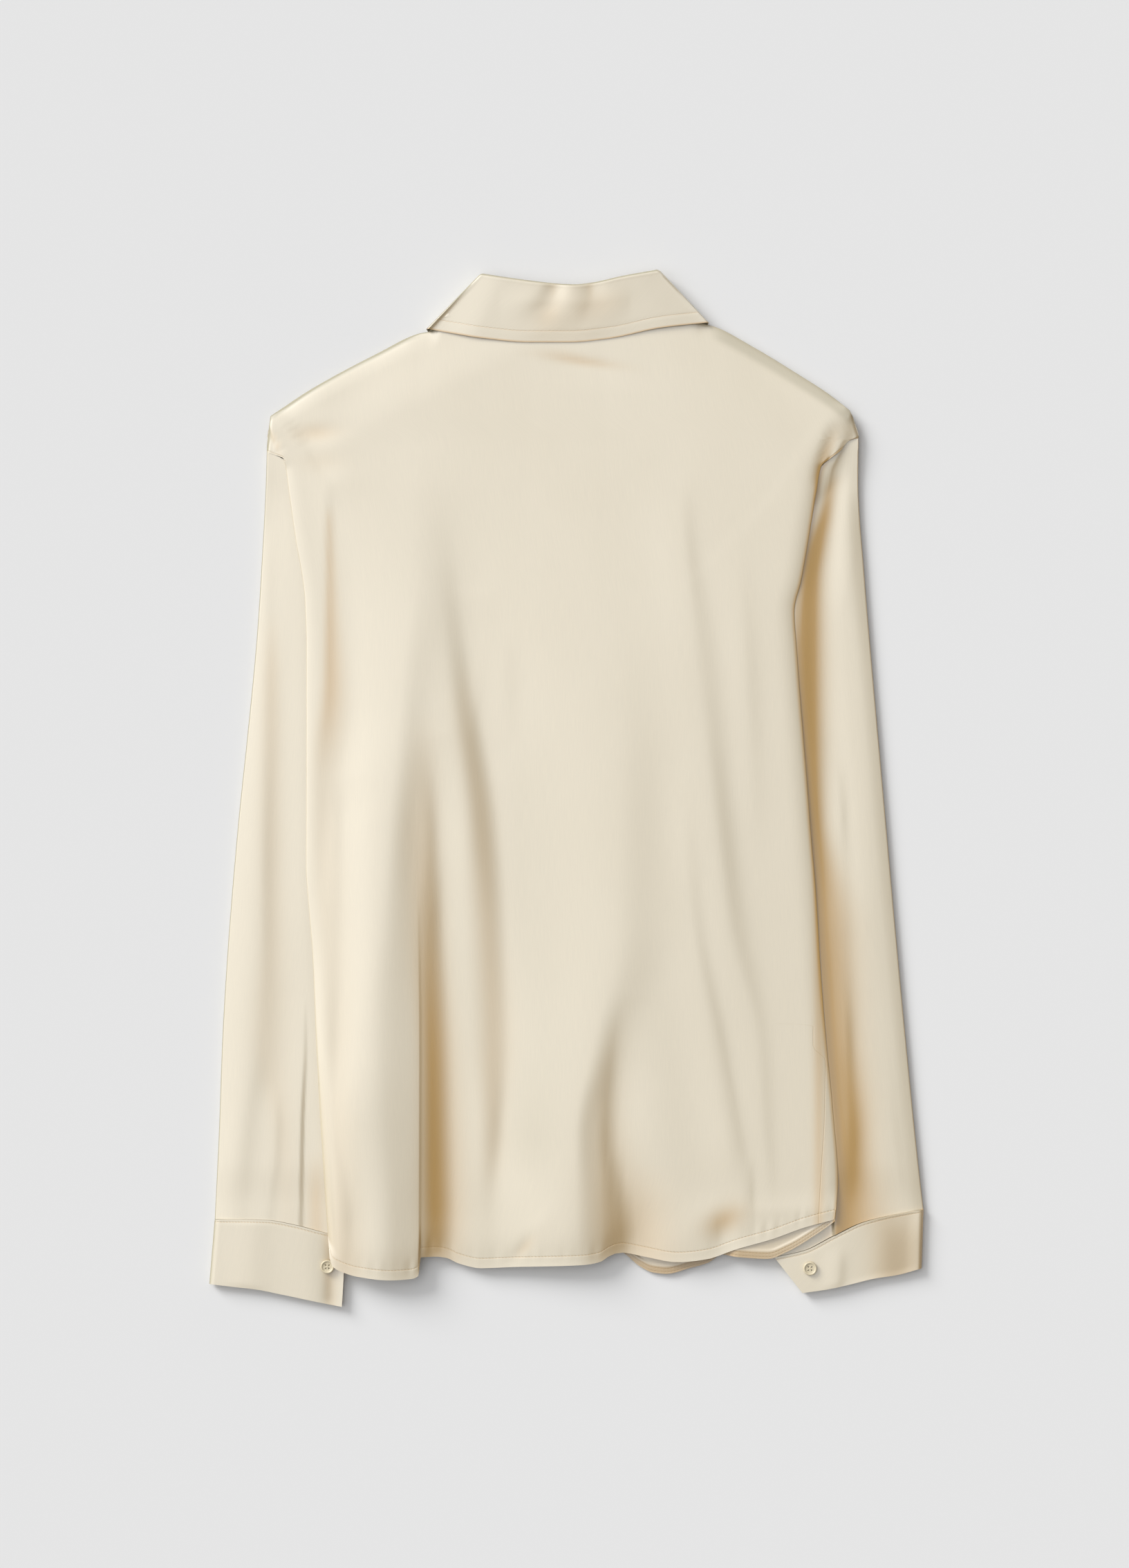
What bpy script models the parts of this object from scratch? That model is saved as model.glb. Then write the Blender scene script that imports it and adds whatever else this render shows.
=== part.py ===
"""Satin shirt with buttoned cuffs, laid face down on a flat surface with its back up.

X runs across the shirt, to the wearer's right, +Y runs from the hem to the collar, and Z is up from
the surface.  Each sewn piece is a thin wall of cloth: a grid of sections gives its outer skin, and
the inner skin is the outer one moved in by the cloth's thickness.  The tables are in millimetres.
"""
import math
from collections import namedtuple

import bpy
import numpy as np

MM = 0.001

# Driving sizes, in millimetres; a height is above the surface that the shirt lies on
CLOTH = 1.0           # wall of one layer
COLLAR_CLOTH = 1.2    # wall of the interfaced collar and cuffs
SEAM = 0.35           # gap between two pieces where they are sewn together
LAYER = 1.0           # least gap between two layers that lie on each other
MOST_AIR = 3.0        # most air left between two layers of a tube
SIDE_ROLL = 4.2       # radius over which the body's layers round into its side folds
SLEEVE_FLAT = 3.4     # height of a sleeve's tube where the body lies on it
SLEEVE_FULL = 5.2     # height of a sleeve's tube beside the body
BODY_REACH = 42.0     # how far past a sleeve's edge the body stays lifted by it
BODY_SLOPE = 16.0     # and how far it then takes to come down
BUTTON_RADIUS = 5.0
BUTTON_HEIGHT = 2.4
FRONT_BUTTONS = 6
FIRST_BUTTON_Y = 246.0
BUTTON_PITCH = 92.0
OVERLAP = 13.0        # how far each front passes the centre line
CUFF_LAP = 0.24       # share of a cuff's width that its ends overlap
CUFF_STEP = COLLAR_CLOTH + SEAM
CUFF_TOP = 3.0 * COLLAR_CLOTH + 2.0 * SEAM + 0.6
CUFF_RISE = CUFF_TOP - SLEEVE_FLAT + 0.2    # how much more a cuff lifts the body than its sleeve
LEAF_TOP = 12.4       # height of the collar's leaf at its fold
LEAF_LOW = 11.0       # and at its lower edge, where it lies on the back
STAND_TOP = 8.8       # heights of the collar's stand, behind and in front of the neck
STAND_BOTTOM = 3.3
YOKE_LINE = 228.0     # place along the shirt where the armhole seams come out from under the body
HEM_ZONE = 90.0       # length above the hem over which the rows follow its curve

# How finely the pieces are divided
BODY_ROWS = 12        # rows below the yoke line
BODY_COLUMNS = 18     # even columns, besides those at the side folds and the lobe
SLEEVE_ROWS = 11
BUTTON_SIDES = 16

Edge = namedtuple("Edge", "y x")
Span = namedtuple("Span", "x y")
Station = namedtuple("Station", "y x left right height")
Cuff = namedtuple("Cuff", "share seam_x seam_y end_x end_y")

# Side folds of the body, from the hem up, then the armhole seam and the outside of the shoulder
BODY_LEFT = (
    Edge(-338.7, -170.7), Edge(-320.0, -172.3), Edge(-180.0, -180.8), Edge(-121.0, -183.3),
    Edge(-89.0, -185.8), Edge(-57.0, -188.0), Edge(20.0, -187.8), Edge(101.0, -187.8),
    Edge(135.0, -188.8), Edge(153.0, -190.8), Edge(178.0, -195.3), Edge(213.0, -200.3),
    Edge(238.2, -204.3), Edge(243.3, -216.6), Edge(268.8, -213.8),
)
BODY_RIGHT = (
    Edge(-310.7, 193.8), Edge(-302.7, 194.6), Edge(-283.0, 195.8), Edge(-232.0, 192.3),
    Edge(-187.0, 187.8), Edge(-137.0, 183.8), Edge(-73.0, 179.8), Edge(-33.0, 176.3),
    Edge(7.0, 173.3), Edge(69.0, 168.3), Edge(99.0, 166.2), Edge(128.0, 164.4),
    Edge(150.0, 169.3), Edge(172.0, 173.3), Edge(214.0, 180.3), Edge(232.4, 183.8),
    Edge(238.9, 191.3), Edge(243.4, 197.3), Edge(251.4, 204.3), Edge(253.4, 211.0),
    Edge(264.0, 208.2), Edge(272.8, 204.3),
)
# Shoulder lines, and the neck seam between them
BODY_TOP = (
    Span(-213.8, 268.8), Span(-204.8, 275.0), Span(-189.8, 285.0), Span(-167.0, 298.3),
    Span(-137.2, 313.9), Span(-107.0, 328.4), Span(-98.0, 330.2), Span(-88.0, 338.0), Span(-60.0, 337.0),
    Span(0.0, 334.0), Span(60.0, 338.0), Span(89.0, 342.5), Span(98.0, 335.8), Span(106.0, 333.8),
    Span(136.0, 318.2), Span(166.0, 299.9), Span(190.0, 284.3), Span(204.3, 272.8),
)
NECK_SIDE, NECK_FRONT = Span(89.0, 340.0), Span(0.0, 264.0)
LEAF_HALF = 92.0      # half width of the stretch where the leaf covers the body's upper edge
NECK_SAG = 24.0       # how far the neckline and the collar's fold dip below a straight line in front
BACK_HEM = (
    Span(-170.7, -338.7), Span(-168.7, -344.3), Span(-164.2, -347.3), Span(-150.8, -351.6),
    Span(-126.5, -354.2), Span(-112.0, -353.4), Span(-107.0, -351.4), Span(-105.0, -338.0),
    Span(-94.8, -337.8), Span(-86.8, -338.8), Span(-78.0, -342.8), Span(-62.0, -346.2),
    Span(-40.0, -345.2), Span(12.0, -343.3), Span(24.0, -341.3), Span(31.5, -336.8),
    Span(38.8, -334.8), Span(55.8, -337.8), Span(80.0, -341.8), Span(100.3, -339.8),
    Span(122.8, -332.3), Span(148.8, -324.8), Span(171.0, -316.8), Span(193.8, -310.7),
)
FRONT_HEM = (
    Span(-170.7, -330.0), Span(-130.0, -336.0), Span(-60.0, -337.0), Span(10.0, -331.0),
    Span(38.8, -334.9), Span(52.8, -345.3), Span(62.3, -349.8), Span(72.0, -350.8),
    Span(89.2, -346.5), Span(102.0, -342.8), Span(113.2, -336.6), Span(124.0, -338.2),
    Span(145.5, -339.4), Span(158.3, -334.8), Span(180.3, -321.8), Span(193.8, -312.3),
)
SLEEVE_LEFT_OUTER = (
    Edge(-311.0, -254.3), Edge(-250.0, -251.3), Edge(-182.0, -248.8), Edge(-115.0, -244.8),
    Edge(-25.0, -237.3), Edge(42.0, -230.3), Edge(110.0, -223.8), Edge(155.0, -220.8),
    Edge(223.0, -217.2), Edge(243.3, -216.6),
)
SLEEVE_LEFT_INNER = (
    Edge(-324.0, -159.4), Edge(-150.0, -136.0), Edge(0.0, -106.0), Edge(110.0, -84.0),
)
SLEEVE_RIGHT_OUTER = (
    Edge(-304.0, 258.0), Edge(-272.0, 254.3), Edge(-182.0, 245.2), Edge(-92.0, 236.8),
    Edge(-2.0, 228.8), Edge(88.0, 220.8), Edge(155.0, 215.2), Edge(223.0, 210.8),
    Edge(253.4, 211.0),
)
SLEEVE_RIGHT_INNER = (
    Edge(-338.0, 150.0), Edge(-150.0, 128.0), Edge(0.0, 104.0), Edge(110.0, 82.0),
)
# Armhole seam: share of the way across the sleeve, height on the shirt
CAP_LEFT = (
    Span(0.0, 243.3), Span(0.09, 238.0), Span(0.127, 213.0), Span(0.22, 184.0), Span(1.0, 112.0),
)
CAP_RIGHT = (
    Span(0.0, 253.4), Span(0.052, 251.4), Span(0.107, 243.4), Span(0.154, 238.9),
    Span(0.211, 232.4), Span(0.238, 214.0), Span(0.32, 186.0), Span(1.0, 112.0),
)
# Each cuff from its outer fold to its buttoned end
CUFF_LEFT = (
    Cuff(0.0, -254.3, -311.3, -258.2, -357.8), Cuff(0.2, -235.3, -311.3, -241.3, -359.8),
    Cuff(0.4, -216.3, -311.8, -223.8, -361.8), Cuff(0.6, -197.3, -315.0, -205.3, -365.5),
    Cuff(0.8, -178.3, -319.9, -184.0, -370.0), Cuff(1.0, -159.4, -324.4, -162.3, -374.4),
)
CUFF_RIGHT = (
    Cuff(0.0, 258.0, -304.0, 256.6, -346.5), Cuff(0.2, 236.4, -308.0, 239.0, -351.3),
    Cuff(0.4, 214.8, -313.4, 221.9, -354.0), Cuff(0.6, 193.2, -323.3, 204.7, -358.2),
    Cuff(0.8, 171.6, -333.9, 187.5, -361.9), Cuff(1.0, 150.0, -338.6, 170.3, -364.3),
)
CUFF_BUTTON_LEFT = Span(-172.6, -345.2)
CUFF_BUTTON_RIGHT = Span(175.8, -346.5)
# Fold lines of the collar and lower edge of its leaf, across the back of the neck
COLLAR_TIP = Span(40.0, 238.0)     # point of each half of the leaf, under the front
COLLAR_FRONT = Span(3.0, 297.0)    # end of the fold line at the centre front
COLLAR_FOLD = (
    Span(-62.0, 371.6), Span(-40.3, 368.3), Span(-9.3, 364.6), Span(6.0, 363.7),
    Span(18.3, 365.0), Span(40.0, 369.6), Span(66.8, 374.4),
)
LEAF_EDGE = (
    Span(-101.3, 331.7), Span(-82.0, 328.3), Span(-60.8, 324.8), Span(-26.3, 321.8),
    Span(2.0, 321.8), Span(30.0, 324.4), Span(68.3, 332.3), Span(102.8, 336.2),
)

# Folds of the back: where each runs, how wide it is to either side and how high it stands
BACK_FOLDS = (
    # the side fold's shallow valley, left
    (Station(250.0, -168.0, 8, 10, 0.0), Station(205.0, -170.0, 8, 10, -1.6),
     Station(60.0, -170.0, 7, 10, -1.6), Station(-30.0, -177.0, 8, 12, 0.0)),
    # long valley left of the middle
    (Station(170.0, -78.0, 10, 12, 0.0), Station(90.0, -68.0, 10, 14, -1.8),
     Station(5.0, -51.0, 10, 14, -2.6), Station(-82.0, -46.0, 10, 16, -2.8),
     Station(-200.0, -51.0, 12, 18, -2.6), Station(-345.0, -60.0, 12, 16, -1.2)),
    # ridge beside it
    (Station(140.0, -92.0, 16, 10, 0.0), Station(20.0, -76.0, 18, 10, 2.4),
     Station(-120.0, -72.0, 14, 12, 2.2), Station(-345.0, -70.0, 10, 14, 1.4)),
    # puffed lobe at the left of the hem, which drops sharply on its right
    (Station(120.0, -128.0, 26, 22, 0.0), Station(0.0, -126.0, 26, 20, 2.2),
     Station(-120.0, -122.0, 28, 15, 4.4), Station(-190.0, -118.0, 32, 11, 6.4),
     Station(-345.0, -117.0, 36, 9, 8.2)),
    # deep valley beside the lobe
    (Station(60.0, -98.0, 10, 12, 0.0), Station(-80.0, -98.0, 8, 12, -2.0),
     Station(-200.0, -96.0, 8, 11, -3.2), Station(-345.0, -95.0, 8, 12, -3.2)),
    # broad ridge down the middle
    (Station(250.0, 10.0, 40, 40, 0.0), Station(60.0, 4.0, 30, 30, 2.4),
     Station(-150.0, 0.0, 26, 24, 3.2), Station(-345.0, -2.0, 24, 20, 3.0)),
    # ridge right of the middle, with its valley ending at the notch in the hem
    (Station(120.0, 62.0, 26, 18, 0.0), Station(-80.0, 54.0, 22, 14, 2.0),
     Station(-200.0, 46.0, 14, 16, 2.6), Station(-270.0, 50.0, 12, 18, 2.2),
     Station(-341.0, 62.0, 16, 22, 2.4)),
    (Station(-130.0, 40.0, 10, 8, 0.0), Station(-215.0, 33.0, 10, 7, -2.8),
     Station(-270.0, 28.0, 10, 9, -3.0), Station(-337.0, 33.0, 9, 9, -3.2)),
    # long soft fold from the shoulder blade, and the crease that goes on to the hem
    (Station(230.0, 84.0, 16, 14, 0.0), Station(120.0, 102.0, 18, 12, 2.0),
     Station(40.0, 136.0, 20, 14, 1.6), Station(-20.0, 150.0, 22, 16, 0.0)),
    (Station(0.0, 84.0, 16, 8, 0.0), Station(-110.0, 95.0, 16, 7, 2.2),
     Station(-205.0, 115.0, 16, 7, 2.8), Station(-333.0, 132.0, 14, 8, 2.6)),
    # soft ridge and valley inside the right side fold
    (Station(140.0, 148.0, 12, 12, 0.0), Station(-60.0, 146.0, 14, 12, 1.8),
     Station(-200.0, 158.0, 16, 14, 2.2), Station(-325.0, 172.0, 14, 12, 2.0)),
    # dimples at the shoulder, at the hem and below the collar
    (Station(272.0, -182.0, 14, 18, 0.0), Station(256.0, -181.0, 14, 18, -2.4),
     Station(240.0, -178.0, 14, 18, 0.0)),
    (Station(-294.0, 110.0, 14, 14, 0.0), Station(-312.0, 111.0, 14, 12, -3.0),
     Station(-332.0, 108.0, 12, 12, 0.0)),
    (Station(322.0, -10.0, 30, 30, 0.0), Station(308.0, 2.0, 26, 30, -1.4),
     Station(292.0, 14.0, 26, 30, 0.0)),
)
BACK_LEVEL = (Edge(-345.0, 8.8), Edge(-150.0, 8.6), Edge(150.0, 8.2), Edge(300.0, 8.4), Edge(345.0, 8.8))

LEFT_SLEEVE_FOLDS = (
    (Station(225.0, -206.0, 7, 7, 0.0), Station(170.0, -208.0, 7, 7, 1.0),
     Station(20.0, -216.0, 10, 8, 1.4), Station(-170.0, -222.0, 12, 10, 1.2),
     Station(-300.0, -232.0, 10, 10, 0.4)),
    (Station(-110.0, -190.0, 10, 4, 0.0), Station(-180.0, -192.0, 12, 4, 1.2),
     Station(-305.0, -196.0, 12, 4, 1.2)),
)
RIGHT_SLEEVE_FOLDS = (
    (Station(235.0, 202.0, 7, 6, 0.0), Station(190.0, 195.0, 7, 7, 1.4),
     Station(100.0, 200.0, 12, 9, 1.4), Station(-60.0, 210.0, 12, 9, 1.6),
     Station(-180.0, 222.0, 14, 10, 1.4), Station(-300.0, 234.0, 12, 10, 0.4)),
)
# Rows above the yoke line, as shares of the way to the shoulder line
SHOULDER_ROWS = (0.1, 0.245, 0.375, 0.45, 0.523, 0.57, 0.66, 0.76, 0.87, 0.95, 0.987, 1.0)


# ---- curves and heights -----------------------------------------------------------


def smooth(table, at):
    """Cubic through a table of (place, value) rows that never swings past them."""
    rows = sorted((row[0], row[1]) for row in table)
    xs = np.array([row[0] for row in rows], float)
    ys = np.array([row[1] for row in rows], float)
    gaps = np.diff(xs)
    slopes = np.diff(ys) / gaps
    tangents = np.zeros_like(ys)
    tangents[0], tangents[-1] = slopes[0], slopes[-1]
    same_way = slopes[:-1] * slopes[1:] > 0
    tangents[1:-1][same_way] = 2.0 / (1.0 / slopes[:-1][same_way] + 1.0 / slopes[1:][same_way])
    at = np.clip(np.asarray(at, float), xs[0], xs[-1])
    k = np.clip(np.searchsorted(xs, at, side="right") - 1, 0, len(xs) - 2)
    h = gaps[k]
    t = (at - xs[k]) / h
    return (
        ys[k] * (1 + 2 * t) * (1 - t) ** 2
        + tangents[k] * h * t * (1 - t) ** 2
        + ys[k + 1] * t * t * (3 - 2 * t)
        + tangents[k + 1] * h * t * t * (t - 1)
    )


def step(t):
    """0 below 0, 1 above 1, with a soft change between them."""
    t = np.clip(t, 0.0, 1.0)
    return t * t * (3.0 - 2.0 * t)


def soft_max(a, b, blend):
    """The larger of two heights, rounded where they cross."""
    return 0.5 * (a + b + np.sqrt((a - b) ** 2 + blend * blend))


def excess(t):
    """How far a height passes a limit, easing in so that what lies flat stays flat."""
    t = np.maximum(t, 0.0)
    return t * t / (t + 0.6)


def rounding(away, radius):
    """Section of a rolled edge: 0 on the edge, 1 at the radius and beyond."""
    t = np.clip(away / radius, 0.0, 1.0)
    return np.sqrt(1.0 - (1.0 - t) ** 2)


def across(a, b, share):
    return a + (b - a) * share


def column(fold, field):
    return [(row.y, getattr(row, field)) for row in fold]


def folds_height(folds, x, y):
    """Sum of the folds' heights at x, y."""
    total = np.zeros(np.broadcast(x, y).shape)
    for fold in folds:
        away = x - smooth(column(fold, "x"), y)
        width = np.where(away < 0, smooth(column(fold, "left"), y), smooth(column(fold, "right"), y))
        total = total + smooth(column(fold, "height"), y) * np.exp(-((away / width) ** 2))
    return total


def side_fold_left(y):
    """Side fold of the body, which goes on up the shoulder inside the armhole seam."""
    return smooth(BODY_LEFT, np.minimum(y, 236.0)) - 0.4 * np.maximum(y - 236.0, 0.0)


def side_fold_right(y):
    return smooth(BODY_RIGHT, np.minimum(y, 232.0)) + 0.55 * np.maximum(y - 232.0, 0.0)


# ---- what lies under the fronts ---------------------------------------------------


def sleeve_cover(x, y, outer, inner, cap, into_body):
    """1 over the part of a sleeve that the body lies on, 0 well away from it."""
    edge, hidden = smooth(outer, y), smooth(inner, y)
    share = (x - edge) / (hidden - edge)
    inside = (1.0 - share) * np.abs(hidden - edge)
    below_cap = smooth(cap, share) - y
    return (
        step((inside + BODY_REACH) / BODY_SLOPE)
        * step((below_cap + BODY_REACH) / BODY_SLOPE)
        * step((into_body + 6.0) / 6.0)
    )


def under_fronts(x, y):
    """Height of the sleeves, cuffs, buttons and collar points that the fronts lie on."""
    left = sleeve_cover(x, y, SLEEVE_LEFT_OUTER, SLEEVE_LEFT_INNER, CAP_LEFT, x - side_fold_left(y))
    right = sleeve_cover(x, y, SLEEVE_RIGHT_OUTER, SLEEVE_RIGHT_INNER, CAP_RIGHT, side_fold_right(y) - x)
    cuff_rise = CUFF_RISE * step((-284.0 - y) / 22.0)
    height = (SLEEVE_FLAT + cuff_rise) * np.maximum(left, right)
    placket = BUTTON_HEIGHT * step((34.0 - np.abs(x)) / 16.0)
    collar = COLLAR_CLOTH * step((y - 205.0) / 20.0) * step((128.0 - np.abs(x)) / 18.0)
    return np.maximum.reduce([height, placket, collar])


# ---- the body ----------------------------------------------------------------------


def side_round(x, y):
    """0 on the body's side folds and shoulder lines, 1 where the layers lie flat."""
    reach = SIDE_ROLL * (1.0 - 0.6 * step((y - YOKE_LINE + 2.0) / 8.0))
    side = np.minimum(x - smooth(BODY_LEFT, y), smooth(BODY_RIGHT, y) - x)
    shoulder = np.where(np.abs(x) < LEAF_HALF, SIDE_ROLL, (smooth(BODY_TOP, x) - y) * 0.87)
    flat_corner = step((-328.0 - y) / 6.0) * (x < 0.0)
    return np.maximum(rounding(side, reach) * rounding(shoulder, SIDE_ROLL), flat_corner)


def front_lap(x):
    """1 where the left front crosses over the right one."""
    return step((56.0 - np.abs(x)) / 18.0)


def back_outer(x, y):
    """Height of the back's outer skin before it rounds into the side folds."""
    low = under_fronts(x, y) + 2.0 * CLOTH + 2.0 * LAYER + (CLOTH + LAYER) * front_lap(x)
    into_body = np.minimum(x - side_fold_left(y), side_fold_right(y) - x)
    level = across(SLEEVE_FULL, smooth(BACK_LEVEL, y), step((into_body + 5.0) / 13.0))
    return soft_max(low, level + folds_height(BACK_FOLDS, x, y), 1.0)


def front_outer(x, y):
    """Height of the fronts' outer skin, which faces down."""
    support = under_fronts(x, y)
    support = support + LAYER * step(support)
    return support + excess(back_outer(x, y) - 2.0 * CLOTH - MOST_AIR - support)


def middle(x, y):
    return 0.5 * (back_outer(x, y) + front_outer(x, y))


def back_skin(x, y):
    centre = middle(x, y) + 0.5 * SEAM
    return centre + (back_outer(x, y) - centre) * side_round(x, y)


def front_skin(x, y):
    centre = middle(x, y) - 0.5 * SEAM
    return centre + (front_outer(x, y) - centre) * side_round(x, y)


# ---- the sleeves --------------------------------------------------------------------


def sleeve_top(x, y, outside, folds):
    """Height of a sleeve's upper skin; outside is how far a point is from the body lying on it."""
    full = SLEEVE_FULL + folds_height(folds, x, y)
    into_cuff = 1.0 - 0.3 * step((-270.0 - y) / 30.0)
    return across(SLEEVE_FLAT, full * into_cuff, step(outside / 8.0))


# ---- solids from grids --------------------------------------------------------------


def normals(grid, closed):
    """Unit normals of a grid of points, rows by columns."""
    if closed:
        along = np.roll(grid, -1, axis=1) - np.roll(grid, 1, axis=1)
    else:
        along = np.gradient(grid, axis=1)
    cross = np.cross(along, np.gradient(grid, axis=0))
    return cross / np.maximum(np.linalg.norm(cross, axis=2, keepdims=True), 1e-9)


def material(name, colour, roughness):
    made = bpy.data.materials.new(name)
    made.use_nodes = True
    shader = made.node_tree.nodes["Principled BSDF"]
    shader.inputs["Base Color"].default_value = (*colour, 1.0)
    shader.inputs["Roughness"].default_value = roughness
    shader.inputs["Metallic"].default_value = 0.0
    return made


def faces_between(rows, cols, closed):
    """Triangles of a wall whose inner skin repeats the outer one's points, in order."""
    count = rows * cols
    faces = []
    for r in range(rows - 1):
        for c in range(cols if closed else cols - 1):
            d = (c + 1) % cols
            a, b, e, f = r * cols + c, r * cols + d, (r + 1) * cols + d, (r + 1) * cols + c
            faces += [(a, b, e), (a, e, f)]
            faces += [(count + a, count + e, count + b), (count + a, count + f, count + e)]
    rims = []
    for r, turned in ((0, False), (rows - 1, True)):
        ends = [(c, (c + 1) % cols) for c in range(cols if closed else cols - 1)]
        rims += [((r * cols + c, r * cols + d), turned) for c, d in ends]
    if not closed:
        for c, turned in ((0, True), (cols - 1, False)):
            rims += [((r * cols + c, (r + 1) * cols + c), turned) for r in range(rows - 1)]
    for (a, b), turned in rims:
        if turned:
            a, b = b, a
        faces += [(a, count + a, count + b), (a, count + b, b)]
    return faces


def turn_outward(mesh):
    corners = [[mesh.vertices[i].co for i in face.vertices] for face in mesh.polygons]
    if sum(face[0].dot(face[1].cross(face[2])) for face in corners) < 0.0:
        mesh.flip_normals()


def add_object(name, points, faces, finish):
    mesh = bpy.data.meshes.new(name)
    mesh.from_pydata([tuple(point * MM) for point in points], [], faces)
    turn_outward(mesh)
    mesh.materials.append(finish)
    mesh.shade_smooth()
    made = bpy.data.objects.new(name, mesh)
    bpy.context.collection.objects.link(made)
    return made


def wall(name, outer, thickness, finish, closed=False, inward=-1.0, keep=None):
    """Closed wall: the grid is its outer skin, and keep may hold the inner skin off its neighbour."""
    inner = outer + inward * thickness * normals(outer, closed)
    if keep is not None:
        inner[..., 2] = keep(inner[..., 0], inner[..., 1], inner[..., 2])
    rows, cols = outer.shape[:2]
    points = np.concatenate([outer.reshape(-1, 3), inner.reshape(-1, 3)])
    return add_object(name, points, faces_between(rows, cols, closed), finish)


# ---- plans of the pieces ------------------------------------------------------------


def body_column(share, hem, top, clip):
    """Plan points of one column of the body, from the hem up to the shoulder or neck."""

    def place(y):
        return clip(across(smooth(BODY_LEFT, y), smooth(BODY_RIGHT, y), share))

    y_hem, y_top = -340.0, 300.0
    for _ in range(10):
        y_hem = float(smooth(hem, place(y_hem)))
        y_top = float(smooth(top, place(y_top)))
    low = np.linspace(-340.0, YOKE_LINE, BODY_ROWS)
    low = low + (y_hem - low[0]) * np.clip((low[0] + HEM_ZONE - low) / HEM_ZONE, 0.0, 1.0)
    high = YOKE_LINE + (y_top - YOKE_LINE) * np.array(SHOULDER_ROWS)
    ys = np.concatenate([low, high])
    return np.stack([place(ys), ys], axis=1)


def body_shares():
    """Shares across the body, close together at the side folds and at the lobe's steep side."""
    rolled = np.array([0.0, 0.0012, 0.0045, 0.0115])
    steep = np.array([0.176, 0.186, 0.196])
    even = np.linspace(0.045, 0.955, BODY_COLUMNS)
    even = even[np.abs(even[:, None] - steep[None, :]).min(axis=1) > 0.014]
    return np.sort(np.concatenate([rolled, steep, even, 1.0 - rolled]))


def as_is(x):
    return x


def build_back(finish):
    columns = [body_column(share, BACK_HEM, BODY_TOP, as_is) for share in body_shares()]
    plan = np.stack(columns, axis=1)
    x, y = plan[..., 0], plan[..., 1]
    outer = np.stack([x, y, back_skin(x, y)], axis=2)
    wall("back", outer, CLOTH, finish, keep=lambda x, y, z: np.maximum(z, middle(x, y) + 0.5 * SEAM))


def build_front(name, finish, side):
    """One front: side is -1 for the left front, which lies inside the right one at the centre."""
    far, near = -side * OVERLAP, side * OVERLAP

    def beyond(x):
        return np.maximum(x, near + 4.0) if side > 0 else np.minimum(x, near - 4.0)

    shares = [share for share in body_shares() if (share - 0.5) * side > 0.06]
    columns = [body_column(share, FRONT_HEM, FRONT_TOP, beyond) for share in shares]
    laps = [body_column(0.5, FRONT_HEM, FRONT_TOP, lambda x, at=at: 0.0 * x + at) for at in (near, far)]
    columns = columns + laps if side < 0 else laps[::-1] + columns
    plan = np.stack(columns, axis=1)
    x, y = plan[..., 0], plan[..., 1]
    lifted = CLOTH + LAYER if side < 0 else 0.0
    outer = np.stack([x, y, front_skin(x, y) + lifted * front_lap(x)], axis=2)

    def keep(x, y, z):
        return np.minimum(z, middle(x, y) - 0.5 * SEAM + lifted * front_lap(x))

    wall(name, outer, CLOTH, finish, inward=1.0, keep=keep)


def neckline(x):
    """Height of the front's neck seam."""
    share = np.abs(x) / NECK_SIDE.x
    straight = across(NECK_FRONT.y, NECK_SIDE.y, share)
    return straight - 4.0 * NECK_SAG * share * (1.0 - share)


NECK_SAMPLES = np.linspace(-NECK_SIDE.x, NECK_SIDE.x, 41)
FRONT_TOP = [row for row in BODY_TOP if abs(row.x) > LEAF_HALF]
FRONT_TOP += [Span(x, float(neckline(x))) for x in NECK_SAMPLES]

# ---- sleeve tubes ----


def tube_stations():
    """Places across a sleeve, from its outer fold to the hidden one; distances are in millimetres."""
    roll = (0.0, 0.8, 3.6)
    stations = [("outer", away) for away in roll] + [("beside", share) for share in (0.25, 0.5, 0.75)]
    stations += [("body", 7.0), ("body", 0.0), ("under", 0.3), ("under", 0.65)]
    return stations + [("inner", away) for away in reversed(roll)]


def station_x(station, y, outer_edge, inner_edge, body_fold):
    """Where a station across the sleeve lies at height y."""
    kind, value = station
    outer, inner, body = smooth(outer_edge, y), smooth(inner_edge, y), body_fold(y)
    inward = np.sign(inner - outer)
    scale = np.minimum(1.0, np.abs(body - outer) / 14.0)
    if kind == "outer":
        return outer + inward * value * scale
    if kind == "beside":
        return across(outer + inward * 3.6 * scale, body - inward * 7.0 * scale, value)
    if kind == "body":
        return body - inward * value * scale
    if kind == "under":
        return across(body, inner, value)
    return inner - inward * value


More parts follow.
